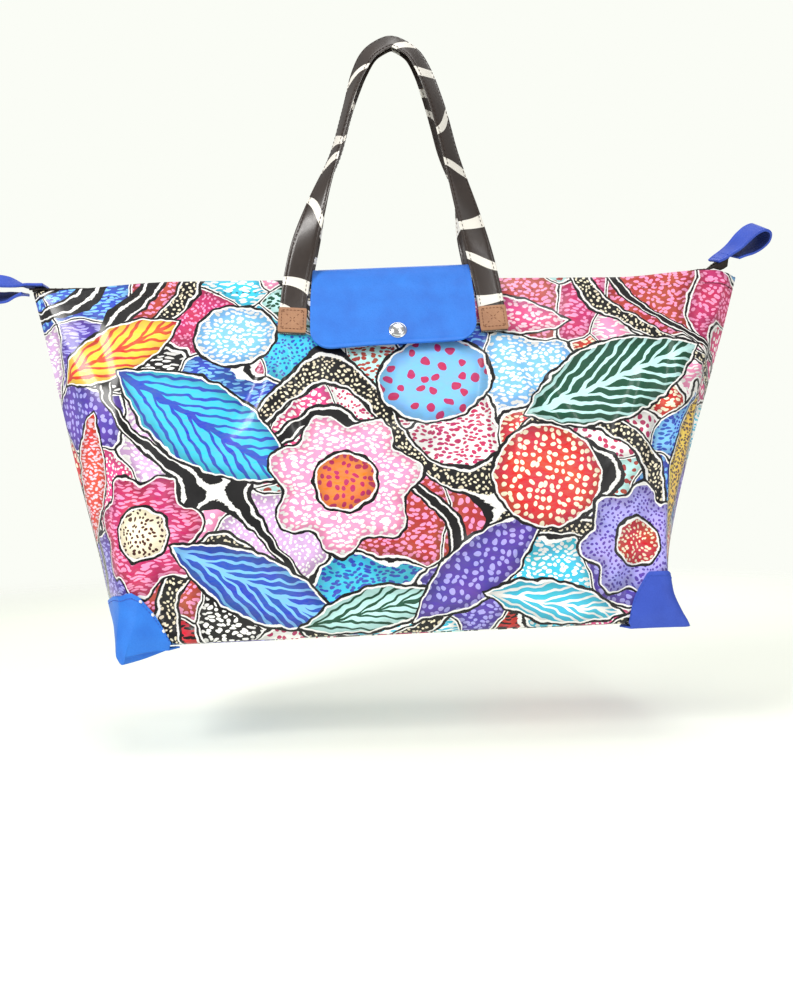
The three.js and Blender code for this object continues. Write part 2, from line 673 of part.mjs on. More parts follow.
// Pull tabs
const tabCurve = new THREE.SplineCurve(tabLine.map((row) => new THREE.Vector2(row.along, row.high)));
function tabPiece(tab, sideX) {
  const pitch = THREE.MathUtils.degToRad(tab.pitch);
  const root = new THREE.Vector3(sideX * tab.start, 0, zipTop(sideX * tab.start));
  return sheet(1, tabSteps, (across, along, layer) => {
    const at = tabCurve.getPointAt(along);
    const way = tabCurve.getTangentAt(along);
    const out = new THREE.Vector2(-way.y, way.x);
    at.addScaledVector(out, (layer - 0.5) * tabThickness);
    const more = (tabTurn.most - tab.roll) * smooth(tabTurn.from, tabTurn.to, at.x);
    const turn = THREE.MathUtils.degToRad(rollAt(tab, tab.start + at.x) + more);
    const side = (across - 0.5) * tabWidth * lerp(tabRoot.share, 1, smooth(tabRoot.from, tabRoot.to, at.x));
    const y = side * Math.cos(turn) - at.y * Math.sin(turn);
    const high = side * Math.sin(turn) + at.y * Math.cos(turn);
    const x = at.x * Math.cos(pitch) - high * Math.sin(pitch);
    const z = at.x * Math.sin(pitch) + high * Math.cos(pitch);
    return new THREE.Vector3(root.x + sideX * x, y, root.z + z);
  });
}
piece(body, "zip_tab_left", tabPiece(tabs.left, -1), "blueLeather");
piece(body, "zip_tab_right", tabPiece(tabs.right, 1), "blueLeather");

export default bag;
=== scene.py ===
import bisect
import math
import bmesh
import bpy
from mathutils import Matrix, Vector, noise

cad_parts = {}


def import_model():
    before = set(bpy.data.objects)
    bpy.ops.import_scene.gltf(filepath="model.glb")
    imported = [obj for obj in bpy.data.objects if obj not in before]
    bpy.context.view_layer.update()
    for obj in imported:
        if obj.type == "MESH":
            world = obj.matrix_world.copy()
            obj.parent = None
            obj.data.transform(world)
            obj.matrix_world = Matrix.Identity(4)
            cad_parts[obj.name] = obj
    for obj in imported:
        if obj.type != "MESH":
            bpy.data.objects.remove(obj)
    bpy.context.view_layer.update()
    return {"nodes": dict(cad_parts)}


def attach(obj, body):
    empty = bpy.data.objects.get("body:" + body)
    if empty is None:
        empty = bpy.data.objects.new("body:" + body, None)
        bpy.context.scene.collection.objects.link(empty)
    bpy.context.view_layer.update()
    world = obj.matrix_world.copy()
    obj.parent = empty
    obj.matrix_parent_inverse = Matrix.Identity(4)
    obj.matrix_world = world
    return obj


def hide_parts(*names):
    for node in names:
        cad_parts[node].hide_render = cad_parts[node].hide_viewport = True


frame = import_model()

mm = 0.001
print("frame loaded:", len(frame["nodes"]), "nodes")


# small maths, all in millimetres

def mix(a, b, t):
    return a + (b - a) * t


def smooth(zeroAt, oneAt, value):
    t = min(1.0, max(0.0, (value - zeroAt) / (oneAt - zeroAt)))
    return t * t * (3 - 2 * t)


def hump(value, middle, width):
    return math.exp(-((value - middle) / width) ** 2)


# a cubic from a to b with a slope at each end
def cubic(a, b, startSlope, endSlope, t):
    return (a * (2 * t**3 - 3 * t**2 + 1) + b * (3 * t**2 - 2 * t**3)
            + startSlope * (t**3 - 2 * t**2 + t) + endSlope * (t**3 - t**2))


# a long soft ridge or hollow, at (dx, dz) from its middle
def ridge(row, dx, dz, sharp):
    turn = math.radians(row["turn"])
    along = dx * math.sin(turn) + dz * math.cos(turn)
    across = dx * math.cos(turn) - dz * math.sin(turn)
    return row["height"] * math.exp(-2 * (along / row["length"]) ** 2 - sharp * (across / row["width"]) ** 2)


# a smooth line through points, read by its length
class Line:
    def __init__(self, points, steps=60):
        ends = [points[0] * 2 - points[1], *points, points[-1] * 2 - points[-2]]
        self.points = []
        for i in range(len(points) - 1):
            p = ends[i:i + 4]
            gap = [max(1e-4, (p[n + 1] - p[n]).length ** 0.5) for n in range(3)]
            slopes = []
            for n in (0, 1):
                a, b = gap[n], gap[n + 1]
                slope = (p[n + 1] - p[n]) / a - (p[n + 2] - p[n]) / (a + b) + (p[n + 2] - p[n + 1]) / b
                slopes.append(slope * gap[1])
            for s in range(steps):
                self.points.append(cubic(p[1], p[2], *slopes, s / steps))
        self.points.append(points[-1].copy())
        self.reach = [0.0]
        for a, b in zip(self.points, self.points[1:]):
            self.reach.append(self.reach[-1] + (b - a).length)
        self.length = self.reach[-1]

    def at(self, distance):
        i = max(0, min(bisect.bisect_right(self.reach, distance) - 1, len(self.reach) - 2))
        span = self.reach[i + 1] - self.reach[i]
        return self.points[i].lerp(self.points[i + 1], min(1.0, max(0.0, (distance - self.reach[i]) / span)))

    def way(self, distance):
        near = self.length * 0.002
        return (self.at(min(self.length, distance + near)) - self.at(max(0, distance - near))).normalized()


# the bag's body, the same form as the solids

bag = dict(shift=-5, rimZ=-188, baseZ=-470, wall=1.6, baseTilt=4, earShift=5, earDroop=(10, 1), earReach=2.7,
           rimDip=6, rimRise=5.5, footRound=6, footShare=0.8, seamTuck=2.2, seamWide=5, endWide=60,
           quarter=16, frontEnd=9, bendEnd=12, earAt=10.5, swayFrom=6, foldEnd=13, footX=217, seamX=226,
           footY=74, hemDown=10, hemDeep=0.45, hemWide=0.9, hemSeam=(3, 12), acrossSteps=260, alongSteps=132,
           dipSpan=(170, 285), riseSpan=(185, 262), settleSpan=(268, 291), settle=0.85, bendReach=2.2,
           earFade=7, lowFade=6, rimFade=6, foldFoot=0.06, foldTop=0.93, creaseSeam=(2, 22), creaseFoot=0.05,
           creaseTop=0.95, creaseUnder=0.85, rumples=((1.6, 66), (0.6, 26)), backPrint=(-0.012, 0.285))
bodyHeight = bag["rimZ"] - bag["baseZ"]
quarter = bag["quarter"]
levelKeys = ("seamX", "cornerX", "cornerY", "frontY", "bend", "sway")
levelRows = [
    (0.00, 226, 217, 74, 74, 0.03, 1),
    (0.04, 230, 213, 75, 79, 0.04, -2),
    (0.10, 233, 209, 74, 82, 0.05, -4),
    (0.22, 238, 211, 70, 81, 0.06, -6),
    (0.46, 254, 222, 58, 69, 0.07, -6),
    (0.70, 271, 244, 39, 47, 0.07, -3),
    (0.86, 282, 263, 22, 28, 0.07, -1),
    (1.00, 291, 280, 10, 13, 0.08, 0),
]
foldKeys = ("side", "x", "up", "turn", "length", "width", "height")
foldRows = [
    (-1, -84, 0.66, 8, 110, 34, 4), (-1, 84, 0.66, -8, 110, 34, 4), (-1, 0, 0.62, 90, 120, 60, -4),
    (-1, -168, 0.10, -38, 70, 26, -7), (-1, 176, 0.14, 28, 90, 24, -7), (-1, 214, 0.50, 14, 120, 26, -5),
    (-1, -222, 0.42, -16, 100, 26, -5), (1, -84, 0.66, 8, 110, 34, 4), (1, 84, 0.66, -8, 110, 34, 4),
    (1, -170, 0.12, -34, 80, 26, -6), (1, 170, 0.12, 34, 80, 26, -6),
]
folds = [dict(zip(foldKeys, row)) for row in foldRows]
levelStore = {}


def levelAt(up):
    up = min(1.0, max(0.0, up))
    key = round(up, 6)
    if key in levelStore:
        return levelStore[key]
    last = len(levelRows) - 1
    i = 0
    while i < last - 1 and up > levelRows[i + 1][0]:
        i += 1
    a, b = levelRows[i], levelRows[i + 1]
    before, after = levelRows[max(0, i - 1)], levelRows[min(last, i + 2)]
    span = b[0] - a[0]
    t = (up - a[0]) / span
    level = {}
    for n, name in enumerate(levelKeys, 1):
        startSlope = (b[n] - before[n]) / (b[0] - before[0])
        endSlope = (after[n] - a[n]) / (after[0] - a[0])
        level[name] = cubic(a[n], b[n], span * startSlope, span * endSlope, t)
    levelStore[key] = level
    return level


def frontDepth(level, x):
    return level["cornerY"] + (level["frontY"] - level["cornerY"]) * (1 - (x / level["cornerX"]) ** 2)


def rimLift(x):
    if x < 0:
        return -bag["rimDip"] * smooth(*bag["dipSpan"], -x)
    settled = 1 - bag["settle"] * smooth(*bag["settleSpan"], x)
    return bag["rimRise"] * smooth(*bag["riseSpan"], x) * settled


def foldHeight(x, up, side):
    total = 0.0
    for fold in folds:
        if fold["side"] == side:
            total += ridge(fold, x - fold["x"], (up - fold["up"]) * bodyHeight, 2)
    return total * smooth(0, bag["foldFoot"], up) * smooth(1, bag["foldTop"], up)


def depthAt(x, z, side):
    up = (z - bag["baseZ"]) / bodyHeight
    return frontDepth(levelAt(up), x) + foldHeight(x, up, side)


# a place round the body: 0 is the left seam, 16 the front's middle, 32 the right seam, 48 the back's middle
def ringPlace(k):
    part, rest = divmod(k % (4 * quarter), quarter)
    index = quarter - rest if part % 2 == 0 else rest
    return index, (1 if part in (1, 2) else -1), (-1 if part < 2 else 1)


def quarterPoint(level, index):
    bend, frontEnd, bendEnd = level["bend"], bag["frontEnd"], bag["bendEnd"]

    def onFront(share):
        x = share * level["cornerX"]
        return Vector((x, frontDepth(level, x)))
    if index <= frontEnd:
        return onFront((1 - bend) * index / frontEnd)
    corner, seam = onFront(1), Vector((level["seamX"], 0))
    end = corner.lerp(seam, bag["bendReach"] * bend)
    if index <= bendEnd:
        t = (index - frontEnd) / (bendEnd - frontEnd)
        return onFront(1 - bend) * (1 - t) ** 2 + corner * (2 * t * (1 - t)) + end * t**2
    return end.lerp(seam, (index - bendEnd) / (quarter - bendEnd))


# ear is how much of the corners' droop and shift is in the place
def plainWall(up, k, ear=1.0):
    index, sideX, sideY = ringPlace(k)
    level = levelAt(up)
    p = quarterPoint(level, index)
    nearEar = ear * (0.5 + 0.5 * math.cos(math.pi * min(1, abs(index - bag["earAt"]) / bag["earReach"])))
    x = sideX * p.x + level["sway"] * smooth(bag["swayFrom"], quarter, index)
    x += bag["earShift"] * nearEar * (1 - up) ** bag["earFade"]
    low = bag["baseTilt"] * x / bag["footX"] - bag["earDroop"][0 if sideX < 0 else 1] * nearEar
    z = mix(bag["baseZ"], bag["rimZ"], up)
    z = z + low * (1 - up) ** bag["lowFade"] + rimLift(x) * up ** bag["rimFade"]
    return Vector((x, sideY * p.y, z))


def wallNormal(up, k):
    along = plainWall(up, k + 0.06, 0) - plainWall(up, k - 0.06, 0)
    rise = plainWall(min(1, up + 0.004), k, 0) - plainWall(max(0, up - 0.004), k, 0)
    return along.cross(rise).normalized()


def wallFold(up, k, x):
    index, _, sideY = ringPlace(k)
    return foldHeight(x, up, sideY) * smooth(quarter, bag["foldEnd"], index)


def wall(up, k, out=0.0):
    p = plainWall(up, k)
    return p + wallNormal(up, k) * (wallFold(up, k, p.x) + out)


# making pieces

def world(p):
    return Vector(((p.x + bag["shift"]) * mm, p.y * mm, p.z * mm))


def newObject(name, bm, finish):
    mesh = bpy.data.meshes.new(name)
    bm.to_mesh(mesh)
    bm.free()
    for face in mesh.polygons:
        face.use_smooth = True
    made = bpy.data.objects.new(name, mesh)
    bpy.context.scene.collection.objects.link(made)
    mesh.materials.append(finish)
    return made


def newPiece(name, bm, finish, nodes=()):
    piece = newObject(name, bm, finish)
    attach(piece, "root")
    if nodes:
        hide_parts(*nodes)
    return piece


# a grid whose corners go where place(across, along) says; flat(across, along) gives its own map in metres
def gridMesh(acrossSteps, alongSteps, place, flat, closed=False):
    bm = bmesh.new()
    bmesh.ops.create_grid(bm, x_segments=acrossSteps, y_segments=alongSteps, size=0.5)
    uv = bm.loops.layers.uv.new("flat")
    spots = {v: (v.co.x + 0.5, v.co.y + 0.5) for v in bm.verts}
    for face in bm.faces:
        for loop in face.loops:
            loop[uv].uv = flat(*spots[loop.vert])
    for v, spot in spots.items():
        v.co = world(place(*spot))
    if closed:
        bmesh.ops.remove_doubles(bm, verts=bm.verts, dist=1e-6)
    bm.normal_update()
    return bm


def thicken(piece, thickness, edge=0.0, even=True, inner=None):
    solid = piece.modifiers.new("thickness", "SOLIDIFY")
    solid.thickness = thickness * mm
    solid.offset = -1.0
    solid.use_even_offset = even
    if inner:
        piece.data.materials.append(inner)
        solid.material_offset = 1
    if edge:
        bevel = piece.modifiers.new("edge", "BEVEL")
        bevel.width = edge * mm
        bevel.segments = 2
        bevel.limit_method = "ANGLE"
        bevel.angle_limit = math.radians(50)


# turns the faces over where outward says that they look in
def faceOut(bm, outward):
    if outward < 0:
        bmesh.ops.reverse_faces(bm, faces=bm.faces)


# stitches: a small rounded bead for each (middle, way, out)
def stitchMesh(spots, length, width, height):
    bm = bmesh.new()
    for middle, way, out in spots:
        side = way.cross(out).normalized()
        turn = Matrix((way.normalized(), side, out.normalized())).transposed().to_4x4()
        size = Matrix.Diagonal((length * mm / 2, width * mm / 2, height * mm / 2, 1))
        bmesh.ops.create_icosphere(bm, subdivisions=1, radius=1,
                                   matrix=Matrix.Translation(world(middle)) @ turn @ size)
    return bm


def sew(name, spots, size, thread):
    newPiece(name, stitchMesh(spots, *size), finishes[thread])


# shader maths

class Wire:
    def __init__(self, tree, socket=None):
        self.tree, self.socket = tree, socket

    def node(self, kind, settings=None, sockets=None, out=0):
        made = self.tree.nodes.new("ShaderNode" + kind)
        for name, value in (settings or {}).items():
            if name == "stops":
                ramp = made.color_ramp
                ramp.interpolation = "CONSTANT"
                while len(ramp.elements) < len(value):
                    ramp.elements.new(1.0)
                for element, (place, colour) in zip(ramp.elements, value):
                    element.position, element.color = place, colour
            else:
                setattr(made, name, value)
        for key, value in (sockets or {}).items():
            if isinstance(value, Wire):
                self.tree.links.new(value.socket, made.inputs[key])
            else:
                made.inputs[key].default_value = value
        return Wire(self.tree, made.outputs[out])

    def maths(self, operation, *values):
        return self.node("Math", {"operation": operation}, dict(enumerate(values)))

    def __add__(self, other):
        return self.maths("ADD", self, other)

    __radd__ = __add__

    def __sub__(self, other):
        return self.maths("SUBTRACT", self, other)

    def __rsub__(self, other):
        return self.maths("SUBTRACT", other, self)

    def __mul__(self, other):
        return self.maths("MULTIPLY", self, other)

    __rmul__ = __mul__

    def __lt__(self, other):
        return self.maths("LESS_THAN", self, other)

    def __gt__(self, other):
        return self.maths("GREATER_THAN", self, other)

    def __abs__(self):
        return self.maths("ABSOLUTE", self)


def blend(factor, first, second):
    return factor.node("Mix", {"data_type": "RGBA"}, {0: factor, 6: first, 7: second}, 2)


def tint(code):
    parts = [int(code[i:i + 2], 16) / 255 for i in (0, 2, 4)]
    return tuple(c / 12.92 if c <= 0.04045 else ((c + 0.055) / 1.055) ** 2.4 for c in parts) + (1.0,)


def newFinish(name):
    made = bpy.data.materials.new(name)
    made.use_nodes = True
    return made, made.node_tree.nodes["Principled BSDF"], Wire(made.node_tree)


def join(wire, shader, socket):
    wire.tree.links.new(wire.socket, shader.inputs[socket])


def fixed(shader, values):
    for name, value in values.items():
        shader.inputs[name].default_value = value


def scaled(place, scale, turn=0.0):
    return place.node("Mapping", {"vector_type": "POINT"}, {0: place, 2: (0, 0, turn), 3: scale})


# noise of its own dimensions: 1D along a number, 2D on a map
def flatNoise(kind, place, scale, detail=0.0, out=0):
    key = "W" if kind == "1D" else "Vector"
    sockets = {key: place, "Scale": scale, "Detail": detail}
    return place.node("TexNoise", {"noise_dimensions": kind}, sockets, out)


def bands(place, direction, scale, distortion=0.0):
    return place.node("TexWave", {"wave_type": "BANDS", "bands_direction": direction},
                      {0: place, "Scale": scale, "Distortion": distortion})


def grain(place, size, detail=2.0, rough=0.5):
    return place.node("TexNoise", {}, {"Vector": place, "Scale": size, "Detail": detail, "Roughness": rough})


def bumpTo(shader, height, strength, distance):
    made = height.node("Bump", {}, {"Strength": strength, "Distance": distance, "Height": height})
    join(made, shader, "Normal")


# the print: patches, bands and plain garden shapes, in centimetres on the cloth

paints = {name: tint(code) for name, code in dict(
    white="f2f1ef", cream="fdf1d2", black="0c0a0e", pink="ee8fba", paleRose="f6cbd9", magenta="d43a7c",
    crimson="b8225c", brick="a8362a", mauve="c9a3d2", lavender="a09ae2", purple="50379f", royal="2449b4",
    sky="74b8f0", turquoise="2fbbda", mint="b9e8e6", deepGreen="0d4a34", orange="ee8030",
    flame="d83a1c", red="cc1f25", yellow="f2c838", brown="4a2018").items()}

patches = [("pink", "white"), ("white", "black"), ("turquoise", "royal"), ("crimson", "pink"),
           ("sky", "white"), ("mauve", "white"), ("black", "white"), ("royal", "sky"), ("white", "crimson"),
           ("mint", "deepGreen"), ("brick", "pink"), ("turquoise", "white"), ("purple", "lavender"),
           ("magenta", "white"), ("paleRose", "crimson"), ("red", "cream"), ("sky", "royal"),
           ("white", "turquoise"), ("mint", "brick"), ("red", "black")]

# cells per centimetre across and along, turn, randomness and size of the dabs
markRows = dict(dabs=((1.9, 3.0), 0.6, 0.8, 0.36), dots=((1.6, 1.6), 0.2, 0.55, 0.31),
                strokes=((1.1, 3.9), -0.5, 0.85, 0.36), spots=((0.8, 0.8), 0.4, 0.6, 0.27),
                specks=((2.7, 2.7), 0.9, 0.7, 0.29))

# kind, x, y, half length, half width, turn, ground, marks, pattern
chartKeys = ("kind", "x", "y", "a", "b", "turn", "ground", "marks", "pattern")
chartRows = [
    ("leaf", -21.6, 23.6, 5.4, 2.1, 28, "yellow", "flame", "veins"),
    ("oval", -12.2, 24.8, 3.0, 2.5, 8, "sky", "white", "dabs"),
    ("leaf", -14.6, 17.2, 8.0, 3.2, -34, "turquoise", "royal", "veins"),
    ("flower", -19.4, 8.8, 4.8, 4.6, 12, "crimson", "pink", "strokes"),
    ("oval", -19.4, 8.8, 1.9, 1.8, 0, "cream", "brown", "specks"),
    ("leaf", -25.4, 13.0, 5.6, 2.0, 68, "flame", "paleRose", "strokes"),
    ("leaf", -10.6, 4.6, 7.0, 2.2, -26, "royal", "sky", "veins"),
    ("flower", -3.8, 12.4, 5.8, 5.6, 8, "pink", "white", "dabs"),
    ("oval", -3.8, 12.4, 2.2, 2.1, 0, "orange", "crimson", "dots"),
    ("oval", 3.4, 20.8, 4.3, 3.3, 12, "sky", "crimson", "spots"),
    ("leaf", -1.8, 2.6, 5.4, 1.5, 12, "mint", "deepGreen", "veins"),
    ("leaf", 6.2, 5.6, 6.2, 2.1, 38, "purple", "lavender", "dots"),
    ("oval", 11.8, 12.6, 4.1, 3.9, 0, "red", "cream", "dots"),
    ("leaf", 17.6, 20.4, 7.8, 3.2, 22, "deepGreen", "mint", "veins"),
    ("flower", 18.8, 7.2, 4.7, 4.5, 30, "lavender", "purple", "specks"),
    ("oval", 18.8, 7.2, 1.7, 1.7, 0, "red", "cream", "specks"),
    ("leaf", 24.8, 13.4, 6.0, 2.1, 74, "yellow", "brown", "strokes"),
    ("leaf", 12.0, 2.6, 5.2, 1.5, -12, "turquoise", "white", "veins"),
    ("leaf", 9.6, 26.4, 4.8, 1.5, -8, "magenta", "paleRose", "dabs"),
]
charts = [dict(zip(chartKeys, row)) for row in chartRows]
layout = dict(slow=0.13, slowMove=(7.0, 7.0, 0), quick=0.75, quickMove=(0.6, 0.6, 0), perCm=0.17, loose=0.9,
              outline=0.24, wander=0.06)
inkLines = dict(white=0.15, edge=0.36, wobble=0.16, shadeDeep=1.2, shadeDark=0.6, bandHalf=0.62,
                lineHalf=0.3, bandScale=26)


def printMarks(place):
    marks = {}
    for name, (scale, turn, randomness, size) in markRows.items():
        sockets = {"Vector": scaled(place, (*scale, 1), turn), "Scale": 1.0, "Randomness": randomness}
        marks[name] = place.node("TexVoronoi", {"voronoi_dimensions": "2D"}, sockets) < size
    return marks


def lengthOf(vector):
    return vector.node("VectorMath", {"operation": "LENGTH"}, {0: vector}, 1)


# how far outside a drawn shape a place is, in centimetres, and the shape's own veins
def chartShape(place, row):
    local = place.node("Mapping", {"vector_type": "TEXTURE"},
                       {0: place, 1: (row["x"], row["y"], 0), 2: (0, 0, math.radians(row["turn"])),
                        3: (row["a"], row["b"], 1)})
    if row["kind"] == "oval":
        return (lengthOf(local) - 1) * row["b"], None
    split = local.node("SeparateXYZ", {}, {0: local})
    x, y = split, Wire(split.tree, split.socket.node.outputs[1])
    if row["kind"] == "leaf":
        high = abs(y)
        lines = place.maths("COSINE", (x * 1.2 - high) * (row["a"] * 3.2)) > 0.5
        return (high + x * x - 1) * row["b"], place.maths("MAXIMUM", lines, high < 0.07)
    petals = place.maths("COSINE", place.maths("ARCTAN2", y, x) * 7)
    return (lengthOf(local) - petals * 0.11 - 0.89) * row["b"], None


def printColour(uv):
    cloth = uv.node("VectorMath", {"operation": "SCALE"}, {0: uv, "Scale": 100.0})
    slow, quick = (flatNoise("2D", cloth, layout[name], 1.0, 1) for name in ("slow", "quick"))
    moved = {"operation": "MULTIPLY_ADD"}
    drawn = uv.node("VectorMath", moved, {0: quick, 1: layout["quickMove"], 2: cloth})
    waved = uv.node("VectorMath", moved, {0: slow, 1: layout["slowMove"], 2: drawn})
    marks = printMarks(drawn)
    # patches: away is the distance outside the fill, in centimetres
    shared = {"Vector": waved, "Scale": layout["perCm"], "Randomness": layout["loose"]}
    cells = uv.node("TexVoronoi", {"voronoi_dimensions": "2D"}, shared, 1)
    edges = uv.node("TexVoronoi", {"voronoi_dimensions": "2D", "feature": "DISTANCE_TO_EDGE"}, shared)
    away = layout["outline"] - edges * (1 / layout["perCm"])
    pick = uv.node("SeparateColor", {}, {0: cells})
    kind = Wire(pick.tree, pick.socket.node.outputs[1])
    share = 1.0 / len(patches)
    ramps = [[(i * share, paints[pair[n]]) for i, pair in enumerate(patches)] for n in (0, 1)]
    grounds, inks = (uv.node("ValToRGB", {"stops": stops}, {0: pick}) for stops in ramps)
    chosen = (marks["dabs"] * (kind < 0.4) + marks["dots"] * (kind > 0.4) * (kind < 0.55)
              + marks["strokes"] * (kind > 0.55) * (kind < 0.8) + marks["specks"] * (kind > 0.8))
    fill = blend(chosen, grounds, inks)
    # winding bands
    wander = flatNoise("2D", drawn, layout["wander"])
    specked = blend(marks["specks"], paints["black"], paints["cream"])
    kinds = ((0.5, inkLines["bandHalf"], specked), (0.6, inkLines["lineHalf"], paints["black"]))
    for level, half, paint in kinds:
        band = abs(wander - level) * inkLines["bandScale"] - half
        onBand = band < inkLines["edge"]
        fill = blend(onBand, fill, paint)
        away = uv.node("Mix", {"data_type": "FLOAT"}, {0: onBand, 2: away, 3: band})
    # drawn shapes
    for row in charts:
        outside, veins = chartShape(drawn, row)
        onShape = outside < inkLines["edge"]
        mark = veins if row["pattern"] == "veins" else marks[row["pattern"]]
        fill = blend(onShape, fill, blend(mark, paints[row["ground"]], paints[row["marks"]]))
        away = uv.node("Mix", {"data_type": "FLOAT"}, {0: onShape, 2: away, 3: outside})
    # paint is deeper towards its outline and changes from stroke to stroke
    brush = grain(scaled(drawn, (1.0, 3.4, 1), 0.7), 1.5, 4.0, 0.6)
    cloud = grain(cloth, 0.42, 3.0)
    deep = uv.node("MapRange", {"interpolation_type": "SMOOTHSTEP"},
                   {0: away * -1.0, 1: 0.0, 2: inkLines["shadeDeep"], 3: inkLines["shadeDark"], 4: 1.0})
    shade = {"Hue": cloud * 0.06 + 0.47, "Saturation": brush * 0.3 + 0.82,
             "Value": deep * (brush * 0.66 + cloud * 0.4 + 0.7), "Color": fill}
    fill = fill.node("HueSaturation", {}, shade)
    line = away + (brush - 0.5) * inkLines["wobble"]
    colour = blend(line > 0.0, fill, paints["white"])
    return blend(line > inkLines["white"], colour, paints["black"]), cloth


def printedCanvas():
    made, shader, start = newFinish("printed_canvas")
    uv = start.node("UVMap", {"uv_map": "flat"})
    colour, cloth = printColour(uv)
    join(colour, shader, "Base Color")
    join(grain(cloth, 2.6) * 0.16 + 0.3, shader, "Roughness")
    fixed(shader, {"Specular IOR Level": 0.3, "Coat Weight": 0.4, "Coat Roughness": 0.13})
    weave = bands(cloth, "X", 3.4) + bands(cloth, "Y", 3.4)
    bumpTo(shader, weave + grain(cloth, 7.0), 0.12, 0.0002)
    return made


def leather(name, dark, light, size, rough, coat):
    made, shader, start = newFinish(name)
    place = start.node("TexCoord", {}, {}, 3)
    cells = start.node("TexVoronoi", {}, {"Vector": place, "Scale": size, "Randomness": 1.0})
    cloud = grain(place, 55.0, 4.0)
    shade = blend(cloud, tint(dark), tint(light))
    shade = blend(cells * 0.22, shade, tint(dark))
    join(shade, shader, "Base Color")
    join(cells * 0.18 + cloud * 0.12 + rough, shader, "Roughness")
    fixed(shader, {"Coat Weight": coat, "Coat Roughness": 0.3})
    bumpTo(shader, cells * -1.0 + grain(place, size * 0.6) * 0.6, 0.35, 0.0003)
    return made


def strapFinish():
    made, shader, start = newFinish("dark_strap")
    uv = start.node("UVMap", {"uv_map": "flat"})
    split = start.node("SeparateXYZ", {}, {0: uv})
    across, along = split, Wire(split.tree, split.socket.node.outputs[1])
    sway = flatNoise("1D", along * 16.0, 1.0)
    slant = (sway - 0.5) * 3.6
    place = along + across * slant + across * across * 9.0
    lines = start.node("TexVoronoi", {"voronoi_dimensions": "1D"},
                       {"W": place * 24.0, "Scale": 1.0, "Randomness": 0.75})
    cloud = grain(uv, 38.0, 3.0)
    ground = blend(cloud, tint("1c1512"), tint("3c302a"))
    colour = blend(lines < 0.1, ground, tint("f1ede4"))
    join(colour, shader, "Base Color")
    join(grain(uv, 240.0) * 0.2 + 0.3, shader, "Roughness")
    fixed(shader, {"Coat Weight": 0.35, "Coat Roughness": 0.2})
    bumpTo(shader, grain(uv, 900.0, 3.0), 0.15, 0.0003)
    return made


def wovenTape():
    made, shader, start = newFinish("zip_tape")
    place = start.node("TexCoord", {}, {}, 3)
    rib = bands(place, "X", 260.0, 0.6)
    cloud = grain(place, 120.0)
    join(blend(cloud, tint("171210"), tint("3a2f2a")), shader, "Base Color")
    join(rib * 0.15 + 0.7, shader, "Roughness")
    bumpTo(shader, rib, 0.5, 0.0003)
    return made


def metal(name, dark, light, rough):
    made, shader, start = newFinish(name)
    place = start.node("TexCoord", {}, {}, 3)
    brushed = grain(scaled(place, (90, 900, 900)), 1.0, 3.0)
    join(blend(brushed, tint(dark), tint(light)), shader, "Base Color")
    join(brushed * 0.15 + rough, shader, "Roughness")
    fixed(shader, {"Metallic": 1.0})
    bumpTo(shader, brushed, 0.06, 0.0001)
    return made


def thread(name, dark, light):
    made, shader, start = newFinish(name)
    place = start.node("TexCoord", {}, {}, 3)
    twist = bands(place, "DIAGONAL", 900.0)
    join(blend(twist, tint(dark), tint(light)), shader, "Base Color")
    join(twist * 0.2 + 0.5, shader, "Roughness")
    return made


finishes = dict(
    canvas=printedCanvas(),
    blue=leather("blue_leather", "135ec7", "2b8af3", 900.0, 0.4, 0.08),
    # a darker, more violet copy of the blue leather: the tabs' own tone, and painted shade on the right
    # corners
    tabBlueAndShade=leather("blue_leather_tab_and_painted_shade", "1b3aa6", "3c60d4", 900.0, 0.42, 0.08),
    # the tabs' inner face: the rougher back of the leather, made dark blue as painted shade inside the loop
    blueInsideAndShade=leather("blue_leather_inside_painted_shade", "0b1f63", "17398c", 700.0, 0.6, 0.0),
    brown=leather("brown_leather", "82553a", "c2916c", 800.0, 0.42, 0.08),
    strap=strapFinish(),
    tape=wovenTape(),
    zipMetal=metal("zip_metal", "2c2825", "5c554d", 0.32),
    silver=metal("silver_metal", "c6c9cc", "eef0f2", 0.14),
    darkThread=thread("dark_thread", "1f1511", "493226"),
    brownThread=thread("brown_thread", "4a2615", "8a5634"),
    blueThread=thread("blue_thread", "1b3a9c", "3b66d6"),
    # white beads that stand in for glints on the left corners: painted highlights
    paintedGlintWhite=thread("painted_glint_white", "cfd3e6", "ffffff"))
print("finishes made:", len(finishes))


# sizes of the leather corners, which the canvas under them follows

# three of its entries place and size white beads, painted highlights that stand in for glints
corner = dict(thickness=1.4, off=0.1, below=0.3, up=(0.152, 0.155), under=0.14, start=7.5, end=15.5,
              middle=10.5, edgeWide=7, tongue=42, tongueEnd=0.08, sideDrop=0.35, full=(3, 13),
              underLast=0.15, cover=(7.1, 7.6), coverSoft=0.012, acrossSteps=68, underSteps=12, wallSteps=30,
              tuck=1.0, footLift=2.4, seamAt=0.94, seamFrom=0.015, seamStep=0.0135, seamCount=72,
              paintedGlints=(0.177, 0.118, 0.048), paintedGlintsAt=0.965, paintedGlint=(3.4, 2.6, 1.2), stitch=(2.2, 0.6, 0.5),
              edge=0.4)


# how high the leather stands at a place round the corner, as a share of its full height
def cornerShare(index, hand):
    middle, frontEnd = corner["middle"], bag["frontEnd"]
    if index < middle:
        onEdge = max(0, index - frontEnd) / (middle - frontEnd)
        onFront = max(0, frontEnd - index) / (frontEnd - corner["start"])
        distance = corner["edgeWide"] * (1 - onEdge) + (corner["tongue"] - corner["edgeWide"]) * onFront
        full = corner["full"][hand]
        return mix(1, corner["tongueEnd"], max(0, distance - full) / (corner["tongue"] - full))
    return 1 - corner["sideDrop"] * (index - middle) / (corner["end"] - middle)


# front, back and base of printed canvas

